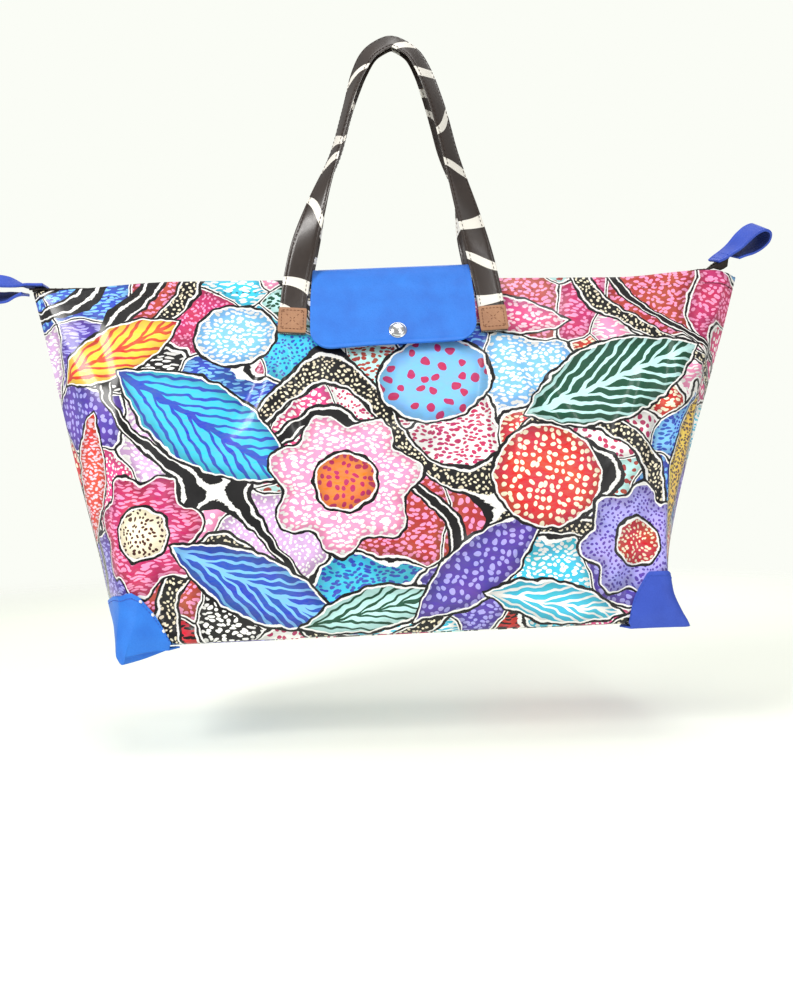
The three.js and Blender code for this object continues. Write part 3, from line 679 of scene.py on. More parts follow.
# small creases of the cloth: side, x, z above the base, turn, length, width, height
creaseKeys = ("side", "x", "z", "turn", "length", "width", "height")
creaseRows = [
    (-1, -176, 22, -52, 46, 9, -4.8), (-1, -150, 30, -60, 40, 8, 3.2), (-1, -196, 58, -20, 60, 9, 3.6),
    (-1, -132, 66, -58, 80, 12, -4.0), (-1, -112, 78, -62, 70, 9, 2.6), (-1, -188, 104, -14, 70, 10, -3.4),
    (-1, -98, 205, 16, 46, 9, 3.8), (-1, -76, 190, -6, 44, 8, -3.2), (-1, -116, 186, 30, 50, 9, -3.0),
    (-1, 98, 200, -20, 46, 9, 3.8), (-1, 74, 188, 6, 44, 8, -3.2), (-1, 118, 178, -34, 54, 9, -3.2),
    (-1, 190, 70, 22, 70, 9, -4.4), (-1, 168, 46, 40, 48, 8, 3.4), (-1, 146, 74, 52, 70, 10, -3.6),
    (-1, 224, 190, 10, 70, 9, 3.6), (-1, 206, 150, 16, 60, 7, -3.4), (-1, 188, 172, 24, 60, 8, 2.6),
    (-1, -214, 170, -12, 70, 9, 2.8), (-1, -226, 214, -18, 50, 8, -2.8), (-1, 4, 168, 88, 70, 9, -2.8),
    (-1, 20, 60, 78, 70, 11, 2.4), (-1, -60, 34, 82, 60, 9, -2.8), (-1, 120, 26, 96, 60, 9, 2.6),
    (1, -170, 26, -48, 50, 9, -4.0), (1, 172, 26, 48, 50, 9, -4.0), (1, -92, 200, 12, 44, 10, 2.8),
    (1, 92, 200, -12, 44, 10, 2.8), (1, 30, 90, 80, 80, 12, 2.8), (1, -200, 150, -14, 70, 9, 3.2),
]
creases = [dict(zip(creaseKeys, row)) for row in creaseRows]


def creaseHeight(x, z, side):
    total = sum(ridge(row, x - row["x"], z - row["z"], 1.5) for row in creases if row["side"] == side)
    spot = Vector((x, z, side * 40.0))
    for height, size in bag["rumples"]:
        total += height * noise.noise(spot / size)
    return total


def panel(name, node, first, side):
    nx, ny, around = bag["acrossSteps"], bag["alongSteps"], 2 * quarter
    rows = [[plainWall(j / ny, first + around * i / nx) for i in range(nx + 1)] for j in range(ny + 1)]
    across = []
    for row in rows:
        reach = [0.0]
        for a, b in zip(row, row[1:]):
            reach.append(reach[-1] + (b - a).length)
        across.append([r - reach[nx // 2] for r in reach])
    up = [0.0]
    for a, b in zip(rows, rows[1:]):
        up.append(up[-1] + (b[nx // 2] - a[nx // 2]).length)

    def place(s, t):
        j, k = round(t * ny), first + around * s
        p = rows[j][round(s * nx)]
        index = ringPlace(k)[0]
        out = wallFold(t, k, p.x)
        seamAway = (quarter - index) / (quarter - bag["bendEnd"]) * bag["endWide"]
        hand = 0 if p.x < 0 else 1
        high = corner["up"][hand] * cornerShare(index, hand)
        soft = corner["coverSoft"]
        cover = smooth(*corner["cover"], index) * smooth(high + soft, high - soft, t)
        free = smooth(*bag["creaseSeam"], seamAway) * smooth(0.0, bag["creaseFoot"], t)
        free = free * smooth(1, bag["creaseTop"], t) * (1 - bag["creaseUnder"] * cover)
        out += free * creaseHeight(p.x, t * bodyHeight, side)
        out -= corner["tuck"] * cover
        foot = max(0.0, 1 - t * bodyHeight / bag["footRound"])
        out -= bag["footRound"] * (1 - math.sqrt(max(0.0, 1 - foot**2))) * bag["footShare"]
        out -= bag["seamTuck"] * max(0.0, 1 - seamAway / bag["seamWide"]) ** 2
        hem = hump(t * bodyHeight, bodyHeight - bag["hemDown"], bag["hemWide"])
        out -= bag["hemDeep"] * hem * smooth(*bag["hemSeam"], seamAway)
        return p + wallNormal(t, k) * out + Vector((0, 0, corner["footLift"] * cover * foot))

    def flat(s, t):
        i, j = round(s * nx), round(t * ny)
        u, v = across[j][i] * mm, up[j] * mm
        turnedU, turnedV = bag["backPrint"]
        return (u, v) if side < 0 else (turnedU - u, turnedV - v)

    bm = gridMesh(nx, ny, place, flat)
    piece = newPiece(name, bm, finishes["canvas"], [node])
    thicken(piece, bag["wall"], even=False)
    top, bottom = across[ny][nx] - across[ny][0], across[0][nx] - across[0][0]
    tall = up[-1]
    max(top, bottom) * mm
    (top + bottom) / 2 * tall * mm * mm


hemRow = dict(count=178, inset=0.7, sunk=0.2, size=(2.3, 0.6, 0.6))


def hemStitches(name, first):
    spots = []
    up = 1 - bag["hemDown"] / bodyHeight
    for n in range(hemRow["count"]):
        k = first + hemRow["inset"] + 2 * (quarter - hemRow["inset"]) * n / (hemRow["count"] - 1)
        p, way = wall(up, k, -hemRow["sunk"]), wall(up, k + 0.05) - wall(up, k - 0.05)
        spots.append((p, way, wallNormal(up, k)))
    sew(name, spots, hemRow["size"], "darkThread")


panel("canvas_front", "front_panel", 0, -1)
panel("canvas_back", "back_panel", 2 * quarter, 1)
hemStitches("hem_stitches_front", 0)
hemStitches("hem_stitches_back", 2 * quarter)
print("canvas panels made")

base = dict(rings=14, around=192, thickness=2.0, flatShare=0.84, inset=6.0, above=0.9, sag=2.2, sagWide=0.7,
            wave=0.8, waveSize=50, printDown=0.12)


def baseHeight(rim, share):
    plane = bag["baseZ"] + bag["baseTilt"] * rim.x * share / bag["footX"]
    edge = min(1.0, max(0.0, (share - base["flatShare"]) / (1 - base["flatShare"])))
    return mix(plane, rim.z, edge)


# the base's own rim, drawn in evenly so that its corners stay whole
def baseRim(k):
    rim = plainWall(0, k)
    inset = base["inset"]
    return Vector((rim.x * (1 - inset / bag["seamX"]), rim.y * (1 - inset / bag["footY"]), rim.z))


def canvasBase():
    def place(s, t):
        rim = baseRim(4 * quarter * s)
        wave = noise.noise(Vector((rim.x * t, rim.y * t, 5)) / base["waveSize"])
        lift = base["sag"] * hump(t, 0.0, base["sagWide"]) + base["wave"] * wave
        return Vector((rim.x * t, rim.y * t, baseHeight(rim, t) + lift * (1 - t) + base["above"]))

    def flat(s, t):
        rim = plainWall(0, 4 * quarter * s)
        return rim.x * t * mm, rim.y * t * mm - base["printDown"]
    bm = gridMesh(base["around"], base["rings"], place, flat, closed=True)
    piece = newPiece("canvas_base", bm, finishes["canvas"], ["base_panel"])
    thicken(piece, base["thickness"], even=False)


canvasBase()


# leather corners

def cornerShape(sideX, sideY, out):
    part = (0 if sideY < 0 else 3) if sideX < 0 else (1 if sideY < 0 else 2)
    total = corner["underSteps"] + corner["wallSteps"]
    hand = 0 if sideX < 0 else 1

    def place(s, t):
        index = mix(corner["start"], corner["end"], s)
        share = cornerShare(index, hand)
        inside = share
        if index >= corner["middle"]:
            left = (corner["end"] - index) / (corner["end"] - corner["middle"])
            inside = mix(corner["underLast"], 1, left)
        k = part * quarter + (index if part % 2 else quarter - index)
        row = t * total
        if row >= corner["underSteps"] - 1e-6:
            rise = (row - corner["underSteps"]) / corner["wallSteps"]
            up = corner["up"][hand] * share * rise
            p = wall(up, k, out)
            drop = max(0.0, 1 - rise * corner["wallSteps"] / 4)
            p.z -= (out + corner["below"]) * drop**2
            return p
        near = 1 - row / corner["underSteps"]
        inward = 1 - corner["under"] * inside * near
        rim = baseRim(k)
        edge = wall(0, k, out)
        edge.z -= out + corner["below"]
        flatSpot = Vector((rim.x * inward, rim.y * inward, baseHeight(rim, inward) - out - corner["below"]))
        return edge.lerp(flatSpot, smooth(0, 0.35, near)) if near < 0.35 else flatSpot
    return place


def cornerPiece(name, node, sideX, sideY):
    total = corner["underSteps"] + corner["wallSteps"]
    place = cornerShape(sideX, sideY, corner["off"] + corner["thickness"])
    bm = gridMesh(corner["acrossSteps"], total, place, lambda s, t: (s * 0.09, t * 0.07))
    faceOut(bm, sum(f.normal.dot(Vector((sideX, sideY, -0.3))) for f in bm.faces))
    # the right corners take the darker blue leather, painted shade for the side turned from the key light
    piece = newPiece(name, bm, finishes["blue" if sideX < 0 else "tabBlueAndShade"], [node])
    thicken(piece, corner["thickness"], edge=corner["edge"], even=False)

    def onEdge(s, t):
        p, ahead, higher = place(s, t), place(s + 0.01, t), place(s, t + 0.02)
        normal = (ahead - p).cross(higher - p)
        if normal.dot(Vector((sideX * 0.3, sideY, 0))) < 0:
            normal.negate()
        return p + normal.normalized() * 0.1, ahead - p, normal
    along = [corner["seamFrom"] + corner["seamStep"] * n for n in range(corner["seamCount"])]
    seam = [onEdge(s, corner["seamAt"]) for s in along]
    sew(name + "_stitches", seam, corner["stitch"], "blueThread")
    # white beads along the left corners' upper edge: painted highlights in place of glints, so only the
    # left-hand corners have them
    if sideX < 0:
        paintedGlints = [onEdge(s, corner["paintedGlintsAt"]) for s in corner["paintedGlints"]]
        sew(name + "_tacks", paintedGlints, corner["paintedGlint"], "paintedGlintWhite")


for nameY, sideY in (("front", -1), ("back", 1)):
    for nameX, sideX in (("left", -1), ("right", 1)):
        cornerPiece("leather_corner_%s_%s" % (nameY, nameX), "corner_%s_%s" % (nameY, nameX), sideX, sideY)
print("base and corners made")

# handles

handle = dict(width=21.6, thickness=3.0, twistLeft=69, twistCrown=44, twistRight=47, crown=7, lean=4,
              crownY=4, legY=12.5, offBody=0.9, offRim=3, around=64, along=250, groove=8.3, grooveDeep=0.3,
              wobble=0.5, stitchPitch=3.6, bareEnds=(7, 6), stitchSunk=0.12, patchWidth=22.6, patchHeight=23,
              patchThickness=1.4, patchOff=0.35, patchShare=0.72, patchPuff=0.5, patchSteps=22, boxHalf=8.6,
              apartSpan=(0, 55), closeSpan=(40, 180), leanSpan=(170, 60), legSpan=(0.03, 0.28),
              flatSpan=(0.82, 0.36), aboveRim=8, edgeThin=0.4, edgeRound=7, grooveWide=0.8,
              stitch=(2.6, 0.55, 0.5), patchEdge=0.35, boxCount=6, boxAbove=0.05, boxStitch=(2.3, 0.6, 0.5),
              drops=[(0, 0), (3.5, 9.5), (10, 18), (24, 26), (50, 35), (92, 46.5), (134, 60), (175, 72),
                     (209.5, 78.4), (241.5, 80.5)])


def handleLine(side):
    def leg(drop, spread, sideX):
        z, x = handle["crown"] - drop, sideX * spread
        onBody = depthAt(x, z, side) + handle["offBody"] + handle["thickness"] / 2
        apart = mix(handle["crownY"], handle["legY"], smooth(*handle["apartSpan"], drop))
        atRim = depthAt(x, bag["rimZ"], side) + handle["offRim"]
        free = mix(apart, atRim, smooth(*handle["closeSpan"], drop))
        y = free if z > bag["rimZ"] + handle["aboveRim"] else max(free, onBody)
        return Vector((x + handle["lean"] * smooth(*handle["leanSpan"], drop), side * y, z))
    rows = handle["drops"]
    return Line([leg(d, s, -1) for d, s in reversed(rows)] + [leg(d, s, 1) for d, s in rows[1:]])


# place, way, face and width direction of a strap at a distance along it
def handleFrame(line, side, distance):
    at, way = line.at(distance), line.way(distance)
    out = Vector((0, side, 0))
    out = (out - way * out.dot(way)).normalized()
    across = way.cross(out)
    share = distance / line.length
    fromCrown = abs(share - 0.5) * 2
    leg = handle["twistLeft"] if share < 0.5 else handle["twistRight"]
    leaning = mix(handle["twistCrown"], leg, smooth(*handle["legSpan"], fromCrown))
    leaning = leaning if side < 0 else 180 - leaning
    turn = math.radians(leaning * smooth(*handle["flatSpan"], fromCrown)) * side
    face = out * math.cos(turn) + across * math.sin(turn)
    return at, way, face, way.cross(face)


def handlePiece(name, node, side):
    line = handleLine(side)
    half, thick = handle["width"] / 2, handle["thickness"] / 2

    def heightAt(edge):
        return thick * (1 - handle["edgeThin"] * edge**2)

    def place(s, t):
        at, _, face, width = handleFrame(line, side, t * line.length)
        angle = 2 * math.pi * s
        edge = -math.cos(angle)
        height = heightAt(edge) * math.sqrt(max(0.0, 1 - abs(edge) ** handle["edgeRound"]))
        height -= handle["grooveDeep"] * hump(abs(edge) * half, handle["groove"], handle["grooveWide"])
        wobble = handle["wobble"] * noise.noise(Vector((t * 14, side * 3, 1)))
        return at + width * (edge * half + wobble) + face * (height * (1 if math.sin(angle) >= 0 else -1))

    def flat(s, t):
        edge = -math.cos(2 * math.pi * s)
        return edge * half * mm, (t * line.length + (s > 0.5) * 700 + (side > 0) * 1500) * mm
    bm = gridMesh(handle["around"], handle["along"], place, flat, closed=True)
    bmesh.ops.holes_fill(bm, edges=[e for e in bm.edges if e.is_boundary], sides=0)
    bmesh.ops.recalc_face_normals(bm, faces=bm.faces)
    newPiece(name, bm, finishes["strap"], [node])
    spots = []
    count = int(line.length / handle["stitchPitch"])
    height = heightAt(handle["groove"] / half) - handle["stitchSunk"]
    for n in range(handle["bareEnds"][0], count - handle["bareEnds"][1]):
        at, way, face, width = handleFrame(line, side, (n + 0.5) * line.length / count)
        for edge in (-1, 1):
            for look in (face, -face):
                spots.append((at + width * (edge * handle["groove"]) + look * height, way, look))
    sew(name + "_stitches", spots, handle["stitch"], "darkThread")
    return line


# a square of stitches with a cross in it: each one's place from -1 to 1, across and along, and its way
def boxStitches(count):
    spots = []
    for n in range(count):
        t = -1 + 2 * (n + 0.5) / count
        spots += [(t, -1, 1, 0), (t, 1, 1, 0), (-1, t, 0, 1), (1, t, 0, 1), (t, t, 1, 1), (t, -t, 1, -1)]
    return spots


def handleEnd(name, node, side, sideX, line):
    tall, wide, steps = handle["patchHeight"], handle["patchWidth"], handle["patchSteps"]
    flatOff = handle["thickness"] / 2 + handle["patchOff"] + handle["patchThickness"] * handle["patchShare"]

    def spot(across, along, off):
        distance = along if sideX < 0 else line.length - along
        at, _, face, width = handleFrame(line, side, distance)
        return at + width * across + face * off, face

    def rounded(value, other):
        return value * (1 - 0.035 * abs(other) ** 12)

    def place(s, t):
        x, y = 2 * s - 1, 2 * t - 1
        puff = handle["patchPuff"] * (1 - x**6) * (1 - y**6)
        return spot(rounded(x, y) * wide / 2, tall / 2 * (1 + rounded(y, x)), flatOff + puff)[0]
    bm = gridMesh(steps, steps, place, lambda s, t: (s * wide * mm, t * tall * mm))
    faceOut(bm, sum(f.normal.y * side for f in bm.faces))
    piece = newPiece(name, bm, finishes["brown"], [node])
    thicken(piece, handle["patchThickness"], edge=handle["patchEdge"])
    stitches = []
    for x, y, dx, dy in boxStitches(handle["boxCount"]):
        across, along = x * handle["boxHalf"], tall / 2 + y * handle["boxHalf"]
        off = flatOff + handle["patchPuff"] + handle["boxAbove"]
        p, face = spot(across, along, off)
        ahead = spot(across + dx * 0.1, along + dy * 0.1, off)[0]
        stitches.append((p, ahead - p, face))
    sew(name + "_stitches", stitches, handle["boxStitch"], "brownThread")


for nameY, side in (("front", -1), ("back", 1)):
    line = handlePiece("strap_" + nameY, "handle_" + nameY, side)
    for nameX, sideX in (("left", -1), ("right", 1)):
        ending = "_end_%s_%s" % (nameY, nameX)
        handleEnd("strap" + ending, "handle" + ending, side, sideX, line)
print("handles made")

# flap with its snap

flap = dict(thickness=2.0, front=66, top=62.5, back=61, roundFront=17, roundBack=6, slant=0.045,
            freeFrom=0.62, wave=0.9, swell=0.5, grooveAt=3.2, grooveDeep=0.3, grooveWide=0.9,
            acrossSteps=110, alongSteps=140, frontSpan=(60, 130), backSpan=(60, 10), slantSpan=(52, 104),
            waveSize=(34, 40), swellAt=3, swellWide=24, edgeRow=0.3, edge=0.5,
            backLine=[(-243, 0.9), (-219, 0.9), (-195, 1.4)],
            arch=[(10, -181.2), (0, -178.4), (-10.5, -181.2)],
            frontLine=[(-195, 2.3), (-219, 3.2), (-245, 4.6)])


def flapLine():
    def onBody(z, off, side):
        deep = max(depthAt(share * flap["front"], z, side) for share in (-1, -0.5, 0, 0.5, 1))
        return Vector((0, side * (deep + off), z))
    return Line([onBody(z, off, 1) for z, off in flap["backLine"]]
                + [Vector((0, y, z)) for y, z in flap["arch"]]
                + [onBody(z, off, -1) for z, off in flap["frontLine"]])


flapPath = flapLine()


def flapFrame(distance):
    way = flapPath.way(distance)
    return flapPath.at(distance), Vector((0, way.z, -way.y))


def flapHalf(distance):
    left = flapPath.length - distance
    half = mix(flap["top"], flap["front"], smooth(*flap["frontSpan"], distance))
    half = mix(half, flap["back"], smooth(*flap["backSpan"], distance))
    for gone, radius in ((left, flap["roundFront"]), (distance, flap["roundBack"])):
        if gone < radius:
            half -= radius - math.sqrt(max(0.0, radius**2 - (radius - gone) ** 2))
    return half


def flapPiece():
    def place(s, t):
        # rows crowd together at both rounded ends
        distance = flapPath.length * (t - math.sin(2 * math.pi * t) / (4 * math.pi))
        distance = min(flapPath.length, max(0.0, distance))
        at, out = flapFrame(distance)
        x = (2 * s - 1) * flapHalf(distance)
        fromEnd = min(flapPath.length - distance + flap["edgeRow"], distance + flap["edgeRow"])
        fromEdge = min(flapHalf(distance) - abs(x), fromEnd)
        lift = flap["thickness"] - flap["grooveDeep"] * hump(fromEdge, flap["grooveAt"], flap["grooveWide"])
        free = smooth(flapPath.length * flap["freeFrom"], flapPath.length, distance)
        wave = noise.noise(Vector((x / flap["waveSize"][0], distance / flap["waveSize"][1], 2)))
        lift += free * (flap["wave"] * wave + flap["swell"] * hump(x, flap["swellAt"], flap["swellWide"]))
        return at + out * lift + Vector((x, 0, x * flap["slant"] * smooth(*flap["slantSpan"], distance)))
    bm = gridMesh(flap["acrossSteps"], flap["alongSteps"], place, lambda s, t: (s * 0.13, t * 0.15),
                  closed=True)
    aboveRim = [f.normal.z for f in bm.faces if f.calc_center_median().z > -0.19]
    faceOut(bm, sum(aboveRim))
    piece = newPiece("leather_flap", bm, finishes["blue"], ["flap"])
    thicken(piece, flap["thickness"], edge=flap["edge"])


flapPiece()

snap = dict(x=3, z=-234, radius=7.2, height=3.4, studRadius=5.4, studHeight=2.1, off=0.3, steps=48, lip=1.1,
            rings=9, studEdge=0.5)


def snapPlace(off):
    distance = min((d / 2 for d in range(int(flapPath.length * 1.2), int(flapPath.length * 2))),
                   key=lambda d: abs(flapPath.at(d).z - snap["z"]))
    at, out = flapFrame(distance)
    out = -out if out.y > 0 else out
    turn = Vector((0, 0, 1)).rotation_difference(out).to_matrix().to_4x4()
    return Matrix.Translation(world(at + out * off + Vector((snap["x"], 0, 0)))) @ turn


def spunPiece(name, node, profile, off):
    bm = bmesh.new()
    chain = [bm.verts.new((r * mm, 0, z * mm)) for r, z in profile]
    edges = [bm.edges.new(pair) for pair in zip(chain, chain[1:])]
    bmesh.ops.spin(bm, geom=chain + edges, cent=(0, 0, 0), axis=(0, 0, 1), angle=2 * math.pi,
                   steps=snap["steps"], use_merge=True)
    bmesh.ops.remove_doubles(bm, verts=bm.verts, dist=1e-6)
    bmesh.ops.recalc_face_normals(bm, faces=bm.faces)
    bmesh.ops.transform(bm, matrix=snapPlace(off), verts=bm.verts)
    newPiece(name, bm, finishes["silver"], [node])


def domeProfile():
    r, h, lip = snap["radius"], snap["height"], snap["lip"]
    angles = [math.pi / 2 * n / snap["rings"] for n in range(1, snap["rings"])]
    rim = [(0, 0), (r - 0.3, 0), (r, 0.3), (r, 0.8), (r - 0.5, 1.2), (r - 0.9, 1.15)]
    return rim + [((r - lip) * math.cos(a), lip + (h - lip) * math.sin(a)) for a in angles] + [(0, h)]


def studProfile():
    r, h, edge = snap["studRadius"], snap["studHeight"], snap["studEdge"]
    return [(0, 0), (r - edge, 0), (r, edge), (r, h - edge), (r - edge, h), (0, h)]


spunPiece("snap_dome", "snap_cap", domeProfile(), flap["thickness"] + snap["off"])
spunPiece("snap_socket", "snap_stud", studProfile(), -snap["off"] - snap["studHeight"])
print("flap and snap made")

# zip with its two tabs

zipper = dict(recess=5, above=2, inTab=12, tape=1.2, tapeLow=0.25, flange=8, flangeShare=0.4, sag=0.5,
              half=2.6, high=1.0, steps=180, acrossSteps=10, tailDeep=6.5, tailFrom=268, tailTo=279,
              mouthEnd=245, mouthTaper=40, mouthLast=3, pitch=2.7, toothFrom=4, toothSide=0.75, toothLow=0.3,
              tooth=(1.5, 3.6, 2.3), toothEdge=0.35, flangeSpan=(200, 160), sagSpan=(262, 200), mouthGap=0.5,
              toothGap=0.3)
tabs = dict(width=20, thickness=2.2, turn=33, steps=110,
            left=dict(climbFrom=205, climbTo=262, start=280, pitch=1, roll=0),
            right=dict(climbFrom=212, climbTo=265, start=273, pitch=33, roll=22),
            line=[(0, 2.45), (12, 2.45), (21, 3.2), (31, 6.2), (40, 7.4), (47, 5.4), (50, 0), (47, -5.4),
                  (40, -7.4), (31, -6.8), (23, -4.8), (16.5, -3.8)],
            stitchRows=(3.5, 10.0), stitchSides=(-6.4, -3.2, 0.0, 3.2, 6.4), stitch=(2.4, 0.6, 0.5),
            acrossSteps=30, rootShare=0.96, rootSpan=(4, 20), turnSpan=(11, 34), grooveAt=2.4,
            grooveDeep=0.25, grooveWide=0.7, edge=0.5)


def tabOf(x):
    return tabs["left"] if x < 0 else tabs["right"]


def mouthHalf(x):
    level, last = levelAt(1), zipper["mouthEnd"]
    deep = frontDepth(level, min(x, last))
    if x >= last:
        deep = mix(deep, zipper["mouthLast"], (x - last) / zipper["mouthTaper"])
    return deep - bag["wall"]


def zipTop(x):
    reach, tab = abs(x), tabOf(x)
    flatX = math.copysign(min(reach, tab["climbTo"]), x)
    climbed = mix(-zipper["recess"], zipper["above"], smooth(tab["climbFrom"], tab["climbTo"], reach))
    beyond = max(0, reach - tab["climbTo"]) * math.tan(math.radians(tab["pitch"]))
    return bag["rimZ"] + rimLift(flatX) + climbed + beyond


# the right tail of the zip rolls a little towards the front as it leaves the bag
def tailRoll(tab, reach):
    return math.radians(tab["roll"] * smooth(tab["climbTo"] - 6, tab["start"] + 8, reach))


def rolled(x, y, z):
    turn, top = tailRoll(tabOf(x), abs(x)), zipTop(x)
    up = z - top
    return Vector((x, y * math.cos(turn) - up * math.sin(turn),
                   top + y * math.sin(turn) + up * math.cos(turn)))


def tailEnd(tab):
    return tab["start"] + zipper["inTab"] * math.cos(math.radians(tab["pitch"]))


zipStart, zipEnd = -tailEnd(tabs["left"]), tailEnd(tabs["right"])


def tapePiece(name, node, side):
    def place(s, t):
        x = mix(zipStart, zipEnd, t)
        top = zipTop(x)
        outer = mouthHalf(min(abs(x), tabOf(x)["climbTo"] - 2)) - zipper["mouthGap"]
        inner = zipper["half"] + zipper["toothGap"]
        drop = zipper["tape"] + zipper["tapeLow"]
        drop += zipper["flange"] * smooth(*zipper["flangeSpan"], abs(x))
        drop += zipper["tailDeep"] * smooth(zipper["tailFrom"], zipper["tailTo"], x)
        share = zipper["flangeShare"]
        if s < share:
            return rolled(x, side * outer, top - drop * (1 - s / share))
        inward = (s - share) / (1 - share)
        sag = zipper["sag"] * math.sin(math.pi * inward) * smooth(*zipper["sagSpan"], abs(x))
        return rolled(x, side * mix(outer, inner, inward), top - sag)
    bm = gridMesh(zipper["acrossSteps"], zipper["steps"], place, lambda s, t: (s * 0.02, t * 0.56))
    faceOut(bm, sum(f.normal.z for f in bm.faces))
    piece = newPiece(name, bm, finishes["tape"], [node])
    thicken(piece, zipper["tape"])


tapePiece("tape_front", "zip_tape_front", -1)
tapePiece("tape_back", "zip_tape_back", 1)


def zipTeeth():
    bm = bmesh.new()
    count = int((zipEnd - zipStart - 2 * zipper["toothFrom"]) / zipper["pitch"])
    for n in range(count):
        x = zipStart + zipper["toothFrom"] + zipper["pitch"] * n
        slope = math.atan2(zipTop(x + 1) - zipTop(x - 1), 2)
        side = 1 if n % 2 else -1
        middle = rolled(x, side * zipper["toothSide"], zipTop(x) - zipper["toothLow"])
        size = Matrix.Diagonal((*(value * mm for value in zipper["tooth"]), 1))
        turn = Matrix.Rotation(-slope, 4, "Y") @ Matrix.Rotation(tailRoll(tabOf(x), abs(x)), 4, "X")
        made = bmesh.ops.create_cube(bm, size=1, matrix=Matrix.Translation(world(middle)) @ turn @ size)
        edges = {e for v in made["verts"] for e in v.link_edges}
        crossing = [e for e in edges if abs((e.verts[0].co - e.verts[1].co).y) > 0.002]
        bmesh.ops.bevel(bm, geom=crossing, offset=zipper["toothEdge"] * mm, affect="EDGES", segments=1,
                        profile=0.5, material=-1)
    newPiece("zip_teeth", bm, finishes["zipMetal"], ["zip_chain"])


zipTeeth()

slider = dict(x=-150, length=13, pull=24, width=7, height=3.6, pullHeight=1.5)


def sliderPiece():
    bm = bmesh.new()
    z = bag["rimZ"] - zipper["recess"] + zipper["high"] + 0.3

    def block(x0, x1, y, z0, z1, soft):
        middle = world(Vector(((x0 + x1) / 2, 0, (z0 + z1) / 2)))
        size = Matrix.Diagonal(((x1 - x0) * mm, y * mm, (z1 - z0) * mm, 1))
        made = bmesh.ops.create_cube(bm, size=1, matrix=Matrix.Translation(middle) @ size)
        edges = list({e for v in made["verts"] for e in v.link_edges})
        bmesh.ops.bevel(bm, geom=edges, offset=soft * mm, affect="EDGES", segments=3,
                        profile=0.5, material=-1)
    start, end = slider["x"], slider["x"] + slider["length"]
    block(start, end, slider["width"], z, z + 1.5, 0.5)
    block(start + 1.5, end - 1.5, 2.6, z + 1.3, z + slider["height"], 0.7)
    block(end - 3, end + slider["pull"], 3.6, z + 0.2, z + slider["pullHeight"], 0.5)
    block(end + slider["pull"] - 9, end + slider["pull"], 6.4, z + 0.1, z + slider["pullHeight"] + 0.1, 0.6)
    newPiece("slider_and_pull", bm, finishes["zipMetal"], ["zip_slider"])


sliderPiece()


def tabPiece(name, node, tab, sideX):
    path = Line([Vector((a, h, 0)) for a, h in tabs["line"]])
    pitch = math.radians(tab["pitch"])
    root = Vector((sideX * tab["start"], 0, zipTop(sideX * tab["start"])))

    def spot(side, distance, off):
        at, way = path.at(distance), path.way(distance)
        at = at + Vector((-way.y, way.x, 0)) * off
        turn = tailRoll(tab, tab["start"] + at.x)
        turn += math.radians((tabs["turn"] - tab["roll"]) * smooth(*tabs["turnSpan"], at.x))
        y = side * math.cos(turn) - at.y * math.sin(turn)
        high = side * math.sin(turn) + at.y * math.cos(turn)
        x = at.x * math.cos(pitch) - high * math.sin(pitch)
        z = at.x * math.sin(pitch) + high * math.cos(pitch)
        return Vector((root.x + sideX * x, y, root.z + z))

    def place(s, t):
        distance = t * path.length
        fromRoot = smooth(*tabs["rootSpan"], path.at(distance).x)
        half = tabs["width"] / 2 * mix(tabs["rootShare"], 1, fromRoot)
        side = (2 * s - 1) * half
        groove = tabs["grooveDeep"] * hump(half - abs(side), tabs["grooveAt"], tabs["grooveWide"])
        return spot(side, distance, tabs["thickness"] / 2 - groove)
    bm = gridMesh(tabs["acrossSteps"], tabs["steps"], place, lambda s, t: (s * 0.02, t * 0.14))
    first = place(0.5, 0.02)
    lifted = spot(0, 0.02 * path.length, 9) - spot(0, 0.02 * path.length, 0)
    bm.faces.ensure_lookup_table()
    near = min(bm.faces, key=lambda f: (f.calc_center_median() - world(first)).length)
    faceOut(bm, near.normal.dot(lifted))
    # the tabs take the darker, more violet blue leather as their own tone
    piece = newPiece(name, bm, finishes["tabBlueAndShade"], [node])
    # the loop's inner face gets the darkest blue leather, painted shade
    thicken(piece, tabs["thickness"], edge=tabs["edge"], inner=finishes["blueInsideAndShade"])
    spots = []
    off = tabs["thickness"] / 2 + 0.1
    for distance in tabs["stitchRows"]:
        for side in tabs["stitchSides"]:
            p, ahead = spot(side, distance, off), spot(side + 0.1, distance, off)
            up = spot(side, distance, 4) - spot(side, distance, 1)
            spots.append((p, ahead - p, up))
    sew(name + "_stitches", spots, tabs["stitch"], "blueThread")


tabPiece("tab_left", "zip_tab_left", tabs["left"], -1)
tabPiece("tab_right", "zip_tab_right", tabs["right"], 1)
print("zip made")

# floor that fades out, a pale dome that only the camera sees, light and camera

stage = dict(floorZ=-555, half=1.7, clear=1.0, gone=1.6, glow=0.14, dome=4.0, sides=64, white="fbfdf6")


def makeFloor():
    bm = bmesh.new()
    bmesh.ops.create_grid(bm, x_segments=1, y_segments=1, size=stage["half"])
    bmesh.ops.translate(bm, verts=bm.verts, vec=(0, 0, stage["floorZ"] * mm))
    made, shader, start = newFinish("stage_paper")
    place = start.node("TexCoord", {}, {}, 3)
    join(blend(grain(place, 3.0), tint("eff4e8"), tint("f5f9ee")), shader, "Base Color")
    fade = {0: lengthOf(place), 1: stage["clear"], 2: stage["gone"], 3: 1.0, 4: 0.0}
    join(place.node("MapRange", {"interpolation_type": "SMOOTHSTEP"}, fade), shader, "Alpha")
    fixed(shader, {"Roughness": 0.9, "Emission Color": (1, 1, 0.985, 1), "Emission Strength": stage["glow"]})
    newObject("stage_floor", bm, made)


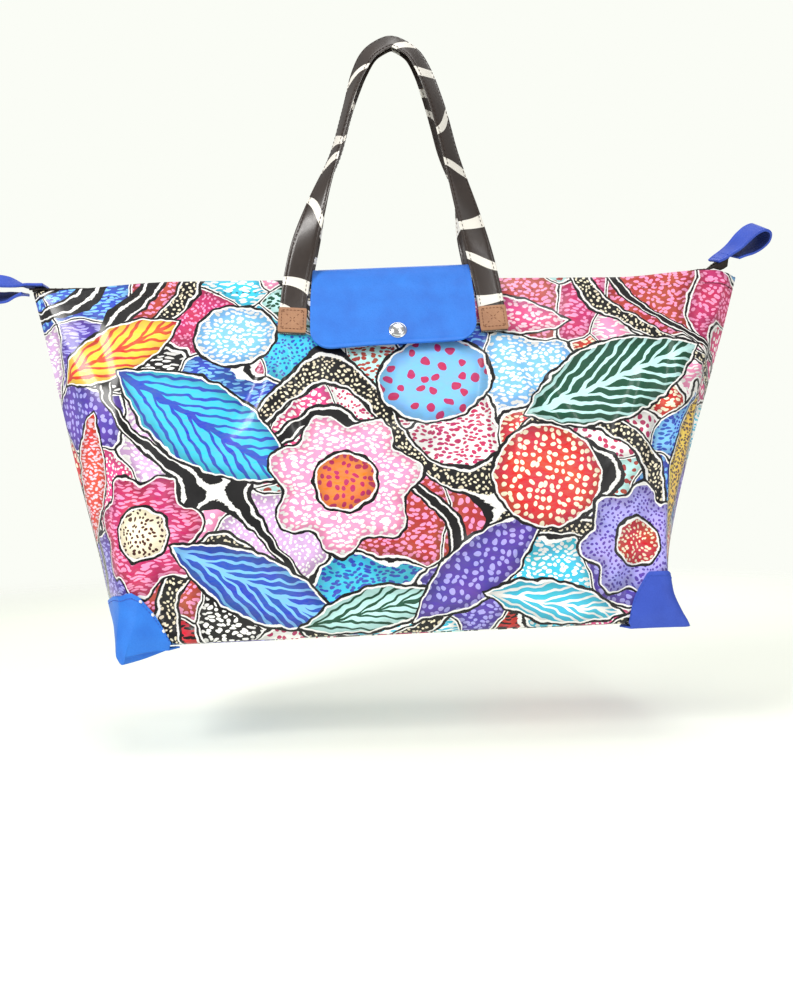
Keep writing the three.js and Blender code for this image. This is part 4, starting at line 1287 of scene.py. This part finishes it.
def makeDome():
    bm = bmesh.new()
    sides = stage["sides"]
    bmesh.ops.create_uvsphere(bm, u_segments=sides, v_segments=sides // 2, radius=stage["dome"])
    made, shader, _ = newFinish("stage_white")
    fixed(shader, {"Base Color": (0, 0, 0, 1), "Specular IOR Level": 0.0,
                   "Emission Color": tint(stage["white"]), "Emission Strength": 1.0})
    made.cycles.emission_sampling = "NONE"
    dome = newObject("stage_dome", bm, made)
    for kind in ("diffuse", "glossy", "transmission", "volume_scatter", "shadow"):
        setattr(dome, "visible_" + kind, False)  # no light comes from it


makeFloor()
makeDome()

lampKeys = ("name", "spot", "aim", "size", "power", "colour")
lampRows = [
    ("key", (-1.2, -0.95, 0.62), (0, 0, -0.3), (0.6, 0.6), 19.5, (1, 0.985, 0.96)),
    ("fill", (1.3, -1.4, 0.0), (0, 0, -0.3), (1.2, 1.2), 5.4, (1, 0.99, 0.97)),
    ("top", (0.1, -0.15, 1.1), (0, 0, -0.3), (1.0, 1.0), 7.4, (1, 0.99, 0.97)),
    ("window", (0.42, -1.15, 0.62), (0.05, 0, -0.32), (0.14, 0.9), 2.8, (1, 1, 1)),
    ("back", (0.4, 1.3, 0.5), (0, 0, -0.3), (1.3, 1.3), 9, (1, 1, 0.98)),
]
for row in (dict(zip(lampKeys, values)) for values in lampRows):
    light = bpy.data.lights.new("light_" + row["name"], "AREA")
    light.shape = "RECTANGLE"
    light.size, light.size_y = row["size"]
    light.energy, light.color = row["power"], row["colour"]
    lamp = bpy.data.objects.new("light_" + row["name"], light)
    bpy.context.scene.collection.objects.link(lamp)
    lamp.location = row["spot"]
    lamp.rotation_euler = (Vector(row["aim"]) - Vector(row["spot"])).to_track_quat("-Z", "Y").to_euler()

sky = bpy.data.worlds.new("studio")
sky.use_nodes = True
sky.node_tree.nodes["Background"].inputs[0].default_value = (1, 0.985, 0.955, 1)
sky.node_tree.nodes["Background"].inputs[1].default_value = 0.4
bpy.context.scene.world = sky
bpy.context.scene.view_settings.view_transform = "Standard"
bpy.context.scene.view_settings.look = "None"

view = dict(turn=-2.93, pitch=1.47, roll=-1.16, aim=(-3.72, 0, -368.05), distance=831.96, lens=36.046)


def makeCamera():
    turn, pitch, roll = (math.radians(view[k]) for k in ("turn", "pitch", "roll"))
    ahead = Vector((-math.sin(turn) * math.cos(pitch), math.cos(turn) * math.cos(pitch), -math.sin(pitch)))
    right = ahead.cross(Vector((0, 0, 1))).normalized()
    up = right.cross(ahead)
    right2 = right * math.cos(roll) + up * math.sin(roll)
    up2 = up * math.cos(roll) - right * math.sin(roll)
    eye = (Vector(view["aim"]) - ahead * view["distance"]) * mm
    data = bpy.data.cameras.new("camera")
    data.sensor_fit, data.sensor_height, data.lens = "VERTICAL", 36.0, view["lens"]
    data.clip_start, data.clip_end = 0.01, 50
    made = bpy.data.objects.new("camera", data)
    bpy.context.scene.collection.objects.link(made)
    made.matrix_world = Matrix.Translation(eye) @ Matrix((right2, up2, -ahead)).transposed().to_4x4()
    bpy.context.scene.camera = made


makeCamera()
print("stage, light and camera made")
